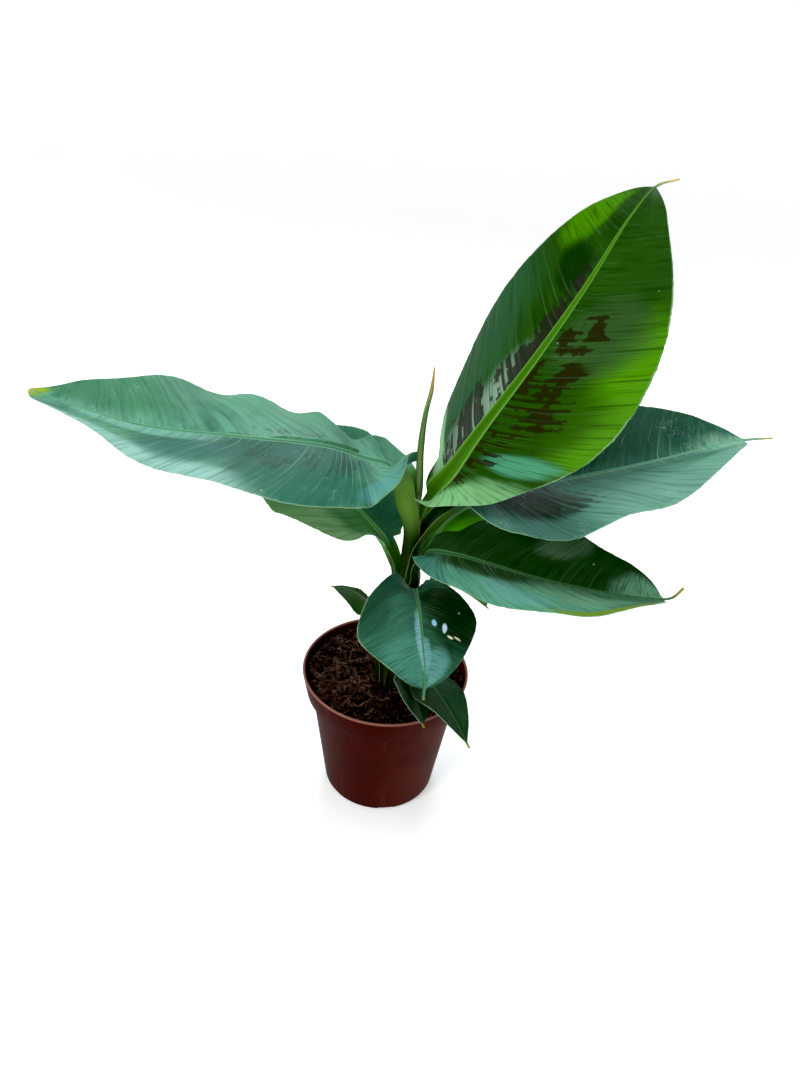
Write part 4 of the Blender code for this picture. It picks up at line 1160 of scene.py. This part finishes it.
# %% Make the spear
def strips(rings, sides, first=0):
    """Faces between rings of points that follow each other, all the way round."""
    starts = [(first + i * sides, first + (i + 1) * sides) for i in range(rings - 1)]
    return [(a + k, a + (k + 1) % sides, b + (k + 1) % sides, b + k) for a, b in starts for k in range(sides)]


def tube(name, rows, maps, material):
    """A closed tube from rings whose first and last points meet."""
    height, width = rows.shape[:2]
    points = np.vstack([rows[:, :-1].reshape(-1, 3), rows[0, :-1].mean(0), rows[-1, :-1].mean(0)])
    count = width - 1
    faces = strips(height, count)
    last = (height - 1) * count
    faces += [(height * count, (j + 1) % count, j) for j in range(count)]
    faces += [(height * count + 1, last + j, last + (j + 1) % count) for j in range(count)]
    mesh = bpy.data.meshes.new(name)
    mesh.from_pydata((points * MM).tolist(), [], faces)
    layer = mesh.uv_layers.new(name="leaf")
    for polygon in mesh.polygons:
        for loop in polygon.loop_indices:
            vertex = mesh.loops[loop].vertex_index
            ring, place = min(vertex // count, height - 1), vertex % count
            layer.data[loop].uv = maps[ring, place]
    mesh.materials.append(material)
    mesh.shade_smooth()
    return into_scene(name, mesh)


spear = tube("spear_leaf", *spear_rows(), spear_surface())
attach(spear, "root")
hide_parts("spear")
print("spear rings:", len(spear.data.vertices) // SPEAR_SIDES)

# %% [markdown]
# ## The pot
# A nursery pot is blown or pressed from thin plastic: a tapered body, a deep stacking collar, and a base with
# drain holes and notches that let water run out. It is a turned shape, so half a section and a Screw modifier make
# it, and Boolean cutters make the holes. The modifiers are then applied, so that the sharp edges can be marked.

# %% Dimensions of the pot, in millimetres
POT_HEIGHT = 104.0
RIM_RADIUS = 60.0
RIM_ROUNDING = 0.8
COLLAR_HEIGHT = 18.4
COLLAR_FOOT_RADIUS = 57.0
BODY_TOP_RADIUS = 53.0
BASE_RADIUS = 42.0
BASE_ROUNDING = 4.0
POT_WALL = 1.6
FOOT_RING_WIDTH = 6.0
FLOOR_LIFT = 3.0
PAD_RADIUS = 12.0
POT_SIDES = 144
DRAIN_HOLES = 6
DRAIN_RADIUS = 4.0
DRAIN_CIRCLE = 24.0
NOTCHES = 6
NOTCH_WIDTH = 11.0
FIRST_NOTCH = -80.0
COLLAR_FOOT = POT_HEIGHT - COLLAR_HEIGHT
FLOOR = FLOOR_LIFT + POT_WALL
print("floor of the pot at", FLOOR, "mm, collar from", round(COLLAR_FOOT, 1), "mm up")

# %% [markdown]
# ## The pot's section
# The half section runs from the middle of the floor up the inside, over the rounded rim and down the outside. It
# could be drawn as a curve, but points that follow from the dimensions can't drift away from them.

# %% Section of the pot
def arc(centre, radius, start, end, steps):
    """Points of a round corner in a profile, angles in degrees from the outward direction."""
    angles = [math.radians(start + (end - start) * i / steps) for i in range(steps + 1)]
    return [(centre[0] + radius * math.cos(a), centre[1] + radius * math.sin(a)) for a in angles]


def pot_profile():
    """The section from the middle of the floor, up the inside, over the rim and down to the base."""
    rim_middle = (RIM_RADIUS - POT_WALL / 2, POT_HEIGHT - RIM_ROUNDING)
    profile = [(0.0, FLOOR), (BASE_RADIUS - POT_WALL - BASE_ROUNDING / 2, FLOOR)]
    profile += [(BASE_RADIUS - POT_WALL, FLOOR + BASE_ROUNDING / 2), (BODY_TOP_RADIUS - POT_WALL, COLLAR_FOOT)]
    profile += [(COLLAR_FOOT_RADIUS - POT_WALL, COLLAR_FOOT + POT_WALL)]
    profile += arc(rim_middle, RIM_ROUNDING, 180, 0, 8)
    profile += arc((COLLAR_FOOT_RADIUS - RIM_ROUNDING, COLLAR_FOOT + RIM_ROUNDING), RIM_ROUNDING, 0, -90, 4)
    profile += [(BODY_TOP_RADIUS, COLLAR_FOOT - RIM_ROUNDING)]
    profile += arc((BASE_RADIUS - BASE_ROUNDING, BASE_ROUNDING), BASE_ROUNDING, 0, -90, 8)
    profile += [(BASE_RADIUS - FOOT_RING_WIDTH, 0.0), (BASE_RADIUS - FOOT_RING_WIDTH, FLOOR_LIFT)]
    return profile + [(PAD_RADIUS, FLOOR_LIFT), (PAD_RADIUS, 0.0), (0.0, 0.0)]


print("points in the pot's section:", len(pot_profile()))

# %% [markdown]
# ## Turn and cut
# Half a section becomes the pot when it is turned round the middle line, and each drain hole and foot notch is cut
# by a plain solid. The shape could be built from quads by hand, but so many small holes are easier to cut.

# %% Turn the pot and cut its holes
def add_mesh(name, points, edges, faces):
    mesh = bpy.data.meshes.new(name)
    mesh.from_pydata([tuple(c * MM for c in point) for point in points], edges, faces)
    return into_scene(name, mesh)


def cutter(shape, radius, low, high, x, y, turn, width=None):
    """A cylinder or a box that a Boolean takes away from the pot."""
    if shape == "cylinder":
        bpy.ops.mesh.primitive_cylinder_add(vertices=32, radius=radius * MM, depth=(high - low) * MM)
    else:
        bpy.ops.mesh.primitive_cube_add(size=1)
        bpy.context.object.scale = (2 * radius * MM, width * MM, (high - low) * MM)
    thing = bpy.context.object
    thing.location = (x * MM, y * MM, (low + high) / 2 * MM)
    thing.rotation_euler.z = turn
    return thing


def round_the_axis(count, radius, first=0.0):
    for i in range(count):
        angle = math.radians(first) + 2 * math.pi * i / count
        yield radius * math.cos(angle), radius * math.sin(angle), angle


def make_pot():
    profile = [(radius, 0.0, height) for radius, height in pot_profile()]
    raw = add_mesh("raw_pot", profile, [(i, i + 1) for i in range(len(profile) - 1)], [])
    screw = raw.modifiers.new("turn", "SCREW")
    screw.steps = screw.render_steps = POT_SIDES
    screw.use_merge_vertices = True
    screw.merge_threshold = 0.01 * MM
    cutters = []
    for x, y, turn in round_the_axis(DRAIN_HOLES, DRAIN_CIRCLE):
        cutters.append(cutter("cylinder", DRAIN_RADIUS, -1, FLOOR + 1, x, y, turn))
    for x, y, turn in round_the_axis(NOTCHES, BASE_RADIUS - FOOT_RING_WIDTH / 2, FIRST_NOTCH):
        cutters.append(cutter("box", FOOT_RING_WIDTH, -FLOOR_LIFT, FLOOR_LIFT, x, y, turn, NOTCH_WIDTH))
    for tool in cutters:
        hole = raw.modifiers.new("hole", "BOOLEAN")
        hole.operation = "DIFFERENCE"
        hole.object = tool
    bpy.context.view_layer.update()
    mesh = bpy.data.meshes.new_from_object(raw.evaluated_get(bpy.context.evaluated_depsgraph_get()))
    for thing in [raw, *cutters]:
        bpy.data.objects.remove(thing, do_unlink=True)
    mesh.shade_smooth()
    mesh.set_sharp_from_angle(angle=math.radians(28))
    return into_scene("turned_pot", mesh)


# %% [markdown]
# ## Worn plastic and painted shade
# Cheap nursery pots are matt and brown-red. Dust clings to one side, water has left drip lines, and the rim is pale
# where it rubs against others. Shade is painted in as well: dark in the angle under the collar and round the foot.
# A painted texture would show its grain up close, so the wear and the painted shade follow the height and a few
# noises.

# %% Plastic of the pot
def pot_plastic():
    """Matt red-brown plastic: drips, dust on one side, a worn rim, painted shade under the collar and at the foot."""
    r = Recipe("pot_plastic_worn_painted_shade")
    place = r.spot()
    x, y, height = r.axes(place)
    cloud = r.noise(place, 14.0, 5.0, 0.6)
    grain = r.noise(place, 420.0, 3.0, 0.6)
    drip = r.noise(r.point(r.times(x, 90.0), r.times(y, 90.0), r.times(height, 9.0)), 1.0, 3.0, 0.6)
    colour = r.mix(r.band(cloud, 0.3, 0.7), (0.026, 0.0016, 0.0008), (0.042, 0.004, 0.0022))
    dusty = r.times(r.band(x, -0.01, 0.05), r.band(cloud, 0.25, 0.65), 0.4)
    colour = r.mix(dusty, colour, (0.125, 0.034, 0.022))
    colour = r.over(colour, (0.1, 0.026, 0.018), r.band(drip, 0.56, 0.7), 0.22)
    foot, rim = COLLAR_FOOT * MM, POT_HEIGHT * MM
    # painted shade in the angle under the collar
    collar_shade = r.times(r.band(height, foot - 0.0076, foot - 0.0011), r.band(height, foot + 0.0029, foot + 0.0004))
    colour = r.over(colour, (0.02, 0.003, 0.002), collar_shade, 0.5)
    colour = r.over(colour, (0.33, 0.15, 0.115), r.band(height, rim - 0.0018, rim - 0.0006), 0.65)
    colour = r.over(colour, (0.13, 0.045, 0.032), r.band(grain, 0.62, 0.72), 0.2)
    # painted shadow on the foot and in its notches: darker below 5 mm
    colour = r.over(colour, (0.006, 0.001, 0.0006), r.band(height, 0.005, 0.0015), 0.85)
    shine(r, colour, r.plus(r.times(cloud, 0.2), 0.42), grain, 0.15, 0.0002, specular=0.03)
    return r.material


pot = make_pot()
pot.data.materials.clear()
pot.data.materials.append(pot_plastic())
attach(pot, "root")
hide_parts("pot")
print("pot faces:", len(pot.data.polygons))

# %% [markdown]
# ## Coir soil
# The plant stands in a dark mix of peat and coconut coir. Its surface is a low mound of crumbs with loose tan and
# red fibres lying over it. The surface is a disc of rings that a noise pushes up and down, the crumbs are small
# rough balls scattered over it, and each fibre is a thin bent tube. All draws come from seeded generators.

# %% Surface of the soil
SOIL_RINGS = 110
SOIL_SIDES = 260
SOIL_RELIEF = 1.3
SOIL_GAP = 0.3
NARROWED = (POT_HEIGHT - SOIL_TOP) * (RIM_RADIUS - COLLAR_FOOT_RADIUS) / COLLAR_HEIGHT
SOIL_RADIUS = RIM_RADIUS - POT_WALL - SOIL_GAP - NARROWED
MOUND_HEIGHT, MOUND_WIDTH = 1.5, 26
# Each clod has a place, a size and a height
CLODS = ((-38, 22, 7, 3.0), (-22, -36, 6, 1.8), (30, 30, 8, 2.0), (41, -16, 5, 1.5))


def from_stem(x, y):
    return math.hypot(x - STEM_AT_SOIL[0], y - STEM_AT_SOIL[1])


def soil_height(x, y):
    """The same mound and clods as the solid soil has."""
    mound = MOUND_HEIGHT * math.exp(-(from_stem(x, y) / MOUND_WIDTH) ** 2)
    ripples = math.sin(0.21 * x + 1.3) * math.cos(0.26 * y - 0.4) + 0.6 * math.sin(0.47 * x - 0.39 * y)
    clods = 0.0
    for cx, cy, size, height in CLODS:
        clods += height * math.exp(-((x - cx) ** 2 + (y - cy) ** 2) / size ** 2)
    return SOIL_TOP + mound + 0.6 * SOIL_RELIEF * ripples + clods


def crumbly_height(x, y):
    """The mound with crumbs of three sizes added to it."""
    edge = min(1.0, (SOIL_RADIUS - math.hypot(x, y)) / 2)
    rough = 0.0
    for scale, height in ((0.16, 1.3), (0.45, 1.4), (1.1, 0.8)):
        rough += height * noise.noise(Vector((x * scale, y * scale, scale * 40)))
    cell = noise.voronoi(Vector((x * 0.42, y * 0.42, 3.1)))[0][0]
    return soil_height(x, y) - 0.5 + (rough + 1.5 * (0.5 - cell)) * edge


print("the soil's middle lies at", round(crumbly_height(0, 0), 1), "mm")

# %% [markdown]
# ## A disc of soil
# The surface is made of rings of points, close enough together to carry the crumbs. Three more rings lead down the
# inside of the pot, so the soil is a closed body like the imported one. A Displace modifier could raise the crumbs
# too, but here the loose bits need the same heights to lie on.

# %% Body of the soil
def circle(radius, height, sides):
    turns = [2 * math.pi * i / sides for i in range(sides)]
    return [(radius * math.cos(turn), radius * math.sin(turn), height) for turn in turns]


def disc_faces(rings, sides):
    """Faces of a disc whose middle is point 0 and whose rings follow it."""
    fan = [(0, 1 + i, 1 + (i + 1) % sides) for i in range(sides)]
    return fan + [(a, d, c, b) for a, b, c, d in strips(rings, sides, first=1)]


def make_soil():
    points = [(0, 0, crumbly_height(0, 0))]
    for ring in range(1, SOIL_RINGS + 1):
        flat = circle((SOIL_RADIUS - 0.5) * ring / SOIL_RINGS, 0, SOIL_SIDES)
        points += [(x, y, crumbly_height(x, y)) for x, y, _ in flat]
    for radius, height in ((COLLAR_FOOT_RADIUS - POT_WALL - SOIL_GAP, COLLAR_FOOT + POT_WALL + SOIL_GAP),
                           (BODY_TOP_RADIUS - POT_WALL - SOIL_GAP, COLLAR_FOOT + SOIL_GAP),
                           (BASE_RADIUS - POT_WALL - BASE_ROUNDING / 2 - SOIL_GAP, FLOOR + SOIL_GAP)):
        points += circle(radius, height, SOIL_SIDES)
    rings = SOIL_RINGS + 3
    faces = disc_faces(rings, SOIL_SIDES)
    faces.append(tuple(1 + (rings - 1) * SOIL_SIDES + i for i in reversed(range(SOIL_SIDES))))
    thing = add_mesh("soil_surface", points, [], faces)
    thing.data.shade_smooth()
    return thing


# %% [markdown]
# ## Peat
# Wet peat is almost black, with lighter crumbs that have dried and a few specks of bark. Two noises choose between
# the dark and the light tone, and random cells pick out the specks.

# %% Peat, and the soil with it
def earth(name, dark, light):
    """Peat: dark and lighter crumbs with redder specks."""
    r = Recipe(name)
    place = r.spot()
    crumb = r.noise(place, 260.0, 5.0, 0.65)
    broad = r.noise(place, 40.0, 4.0, 0.6)
    speck = r.add("TexVoronoi", output=1, Vector=place, Scale=700.0)
    tone = r.axes(speck)[0]
    colour = r.mix(r.band(r.plus(r.times(crumb, 0.5), r.times(broad, 0.5)), 0.42, 0.62), dark, light)
    colour = r.over(colour, (0.1, 0.038, 0.018), r.band(tone, 0.86, 0.96), 0.5)
    shine(r, colour, 0.9, crumb, 0.8, 0.001, specular=0.08)
    return r.material


soil = make_soil()
soil.data.materials.append(earth("peat", (0.0012, 0.0007, 0.0004), (0.04, 0.0195, 0.014)))
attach(soil, "root")
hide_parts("soil")
print("soil faces:", len(soil.data.polygons), "radius", round(SOIL_RADIUS, 1))

# %% [markdown]
# ## Crumbs and fibres
# Loose bits are what makes soil look like soil. A particle system could strew them, but a few seeded draws place
# each one where it can lie, clear of the stem, and fuse each kind into one mesh. The coir is crowded towards the
# back left, where the real pot shows most of it.

# %% Strew and fuse
CRUMBS = 1500
RED_CRUMBS = 160
FIBRES = 700
DARK_FIBRES = 300
STEM_CLEAR = 17.0
FIBRE_CLEAR = 14.5
FIBRE_STEPS = 7


def scatter(count, generator, lean=(0.0, 0.0)):
    """Places on the soil, clear of the stem, crowded towards one side when lean is given."""
    while count:
        radius = (SOIL_RADIUS - 2.5) * math.sqrt(generator.uniform())
        angle = generator.uniform(0, 2 * math.pi)
        x, y = radius * math.cos(angle), radius * math.sin(angle)
        keep = 0.55 + (x * lean[0] + y * lean[1]) / (2 * SOIL_RADIUS)
        if from_stem(x, y) < STEM_CLEAR or generator.uniform() > keep:
            continue
        count -= 1
        yield x, y


def fused(name, shapes, material):
    """One mesh from many small ones, each given as points in millimetres and faces."""
    points, faces = [], []
    for shape_points, shape_faces in shapes:
        start = len(points)
        points += list(shape_points)
        faces += [tuple(start + i for i in face) for face in shape_faces]
    thing = add_mesh(name, points, [], faces)
    thing.data.materials.append(material)
    thing.data.shade_smooth()
    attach(thing, "root")
    print(name, len(thing.data.polygons), "faces")


print("loose bits:", CRUMBS + RED_CRUMBS, "crumbs and up to", FIBRES + DARK_FIBRES, "fibres")

# %% [markdown]
# ## Crumbs
# A crumb is a small round cage that noise knocks out of shape, flattened a little and turned at random. One ball
# could be instanced many times, but then all crumbs would have the same dents.

# %% Crumbs
def ball():
    """A small round cage to knock into crumbs."""
    bpy.ops.mesh.primitive_ico_sphere_add(subdivisions=2, radius=1)
    thing = bpy.context.object
    points = np.array([tuple(v.co) for v in thing.data.vertices])
    faces = [tuple(p.vertices) for p in thing.data.polygons]
    bpy.data.objects.remove(thing, do_unlink=True)
    return points, faces


def crumbs(count, smallest, largest, seed):
    generator = np.random.RandomState(seed)
    points, faces = ball()
    for x, y in scatter(count, generator):
        size = smallest + (largest - smallest) * generator.uniform() ** 3
        bumps = np.array([noise.noise(Vector(p) * 1.6 + Vector((x, y, size))) for p in points])
        stretch = np.array([generator.uniform(0.7, 1.3), generator.uniform(0.7, 1.3),
                            generator.uniform(0.5, 0.9)])
        body = points * (1 + 0.55 * bumps[:, None]) * stretch * size
        turn = generator.uniform(0, 6.28)
        c, s = math.cos(turn), math.sin(turn)
        body = body @ np.array([[c, s, 0], [-s, c, 0], [0, 0, 1]])
        yield body + np.array([x, y, crumbly_height(x, y) + 0.1 * size]), faces


fused("soil_crumbs", crumbs(CRUMBS, 0.35, 2.8, 5),
      earth("peat_crumbs", (0.002, 0.0012, 0.0008), (0.026, 0.012, 0.007)))
fused("red_crumbs", crumbs(RED_CRUMBS, 0.3, 1.1, 6),
      earth("bark_crumbs", (0.016, 0.006, 0.003), (0.1, 0.036, 0.016)))

# %% [markdown]
# ## Fibres
# Coconut fibre is stiff, tan and gently bent, and many pieces lift at one end. Hair from a particle system could
# stand for it, but a thin closed tube has a real surface, which every exporter keeps.

# %% Fibres
def thin_tube(line, radius, sides=4):
    """A closed thin tube round a line of points, narrower at both ends."""
    line = np.asarray(line, float)
    along = unit(np.gradient(line, axis=0))
    side = unit(np.cross(along, np.array([0.13, 0.29, 0.95])))
    up = np.cross(side, along)
    points = []
    for i, point in enumerate(line):
        r = radius * (0.45 if i in (0, len(line) - 1) else 1.0)
        for k in range(sides):
            a = 2 * math.pi * k / sides
            points.append(point + r * (side[i] * math.cos(a) + up[i] * math.sin(a)))
    faces = strips(len(line), sides)
    faces.append(tuple(reversed(range(sides))))
    faces.append(tuple((len(line) - 1) * sides + k for k in range(sides)))
    return points, faces


def fibres(count, seed, thickness):
    """Loose coir: each fibre lies on the soil, bends at random and lifts at one end."""
    generator = np.random.RandomState(seed)
    for x, y in scatter(count, generator, lean=(-0.6, 0.5)):
        length = generator.uniform(3, 15) if generator.uniform() > 0.15 else generator.uniform(15, 26)
        heading, bend = generator.uniform(0, 2 * math.pi), generator.normal(0, 0.25)
        lift = generator.uniform(0.0, 2.5) * length / 15
        line = []
        for i in range(FIBRE_STEPS):
            line.append((x, y, crumbly_height(x, y) + 0.25 + lift * (i / (FIBRE_STEPS - 1)) ** 2))
            heading += bend + generator.normal(0, 0.18)
            x += math.cos(heading) * length / FIBRE_STEPS
            y += math.sin(heading) * length / FIBRE_STEPS
            if math.hypot(x, y) > SOIL_RADIUS - 1.5 or from_stem(x, y) < FIBRE_CLEAR:
                break
        if len(line) > 2:
            yield thin_tube(line, thickness * generator.uniform(0.7, 1.3))


def fibre_finish(name, dark, light):
    """Coir, whose tone varies from fibre to fibre and along each."""
    r = Recipe(name)
    place = r.spot()
    tone = r.noise(place, 130.0, 2.0, 0.6)
    shine(r, r.mix(r.band(tone, 0.35, 0.65), dark, light), 0.7, specular=0.15)
    return r.material


fused("coir_fibres", fibres(FIBRES, 7, 0.1),
      fibre_finish("coir", (0.05, 0.026, 0.018), (0.29, 0.18, 0.125)))
fused("dark_fibres", fibres(DARK_FIBRES, 8, 0.16),
      fibre_finish("old_coir", (0.01, 0.004, 0.002), (0.08, 0.026, 0.012)))

# %% [markdown]
# ## Floor and light
# The plant stands in a round bowl of pale paper, as in a light tent: the floor runs up into its wall in one curve, so
# no horizon shows, and the paper glows a little. Leaves are glossy and mirror whatever is bright. A white room would
# lay a milky veil on them, so the room is dim, and three soft panels make the light: one above, one behind for the
# blue sheen on the flat leaves, and one at the front left that shows the form.

# %% Paper bowl
BOWL_RADIUS, BOWL_CORNER, BOWL_HEIGHT = 3.0, 0.9, 1.3
BOWL_SIDES = 96
CORNER_STEPS = 16


def paper_bowl():
    """A disc with a rounded corner and an upright wall, turned from its section."""
    section = [(BOWL_RADIUS - BOWL_CORNER, 0.0)]
    for step in range(1, CORNER_STEPS + 1):
        angle = math.pi / 2 * step / CORNER_STEPS
        section.append((BOWL_RADIUS - BOWL_CORNER * (1 - math.sin(angle)), BOWL_CORNER * (1 - math.cos(angle))))
    section.append((BOWL_RADIUS, BOWL_HEIGHT))
    points = [(0, 0, 0)]
    for radius, height in section:
        points += circle(radius, height, BOWL_SIDES)
    mesh = bpy.data.meshes.new("floor")
    mesh.from_pydata(points, [], disc_faces(len(section), BOWL_SIDES))
    mesh.shade_smooth()
    return into_scene("floor", mesh)


paper = Recipe("pale_paper")
paper_tone = paper.noise(paper.spot(), 3.0, 2.0, 0.5)
shine(paper, paper.mix(paper_tone, (0.78, 0.78, 0.78), (0.82, 0.82, 0.82)), 0.9, specular=0.0)
paper.shader.inputs["Emission Color"].default_value = (1.0, 1.0, 1.0, 1.0)
paper.shader.inputs["Emission Strength"].default_value = 0.38
floor = paper_bowl()
floor.data.materials.append(paper.material)
floor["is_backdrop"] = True
print("bowl faces:", len(floor.data.polygons))

# %% [markdown]
# ## Panels and room
# Area lights give soft shadows, and the larger they are, the softer. The view transform is the plain one, which
# keeps the deep greens saturated, with a very small black level to hold the darkest ones down.

# %% Panels and room
def panel(name, place, aim, size, power, colour):
    light = bpy.data.lights.new(name, "AREA")
    light.size = size
    light.energy = power
    light.color = colour
    lamp = bpy.data.objects.new(name, light)
    lamp.location = place
    lamp.rotation_euler = (Vector(aim) - Vector(place)).to_track_quat("-Z", "Y").to_euler()
    bpy.context.scene.collection.objects.link(lamp)


MIDDLE = (0.0, 0.0, 0.22)
panel("top_panel", (-0.1, 0.1, 2.0), MIDDLE, 1.6, 34, (1.0, 1.0, 0.98))
panel("sky_panel", (0.1, 1.15, 1.3), MIDDLE, 0.9, 17, (0.84, 0.93, 1.0))
panel("front_panel", (-0.9, -1.1, 1.2), MIDDLE, 0.5, 15, (1.0, 0.99, 0.95))
world = bpy.data.worlds.new("dim_room")
world.use_nodes = True
world.node_tree.nodes["Background"].inputs[0].default_value = (0.93, 0.97, 1.0, 1.0)
world.node_tree.nodes["Background"].inputs[1].default_value = 0.22
bpy.context.scene.world = world
settings = bpy.context.scene.view_settings
settings.view_transform = "Standard"
settings.use_curve_mapping = True
settings.curve_mapping.black_level = (0.006, 0.006, 0.006)
settings.curve_mapping.update()
print("view:", settings.view_transform, "black level", round(settings.curve_mapping.black_level[0], 4))

# %% [markdown]
# ## Close the scene
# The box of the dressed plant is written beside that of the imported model, so that the two can be compared.

# %% Sizes and finish
visual_box = [list(corner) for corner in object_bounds()]
print("dressed box in mm:", [[round(c * 1000, 1) for c in corner] for corner in visual_box])
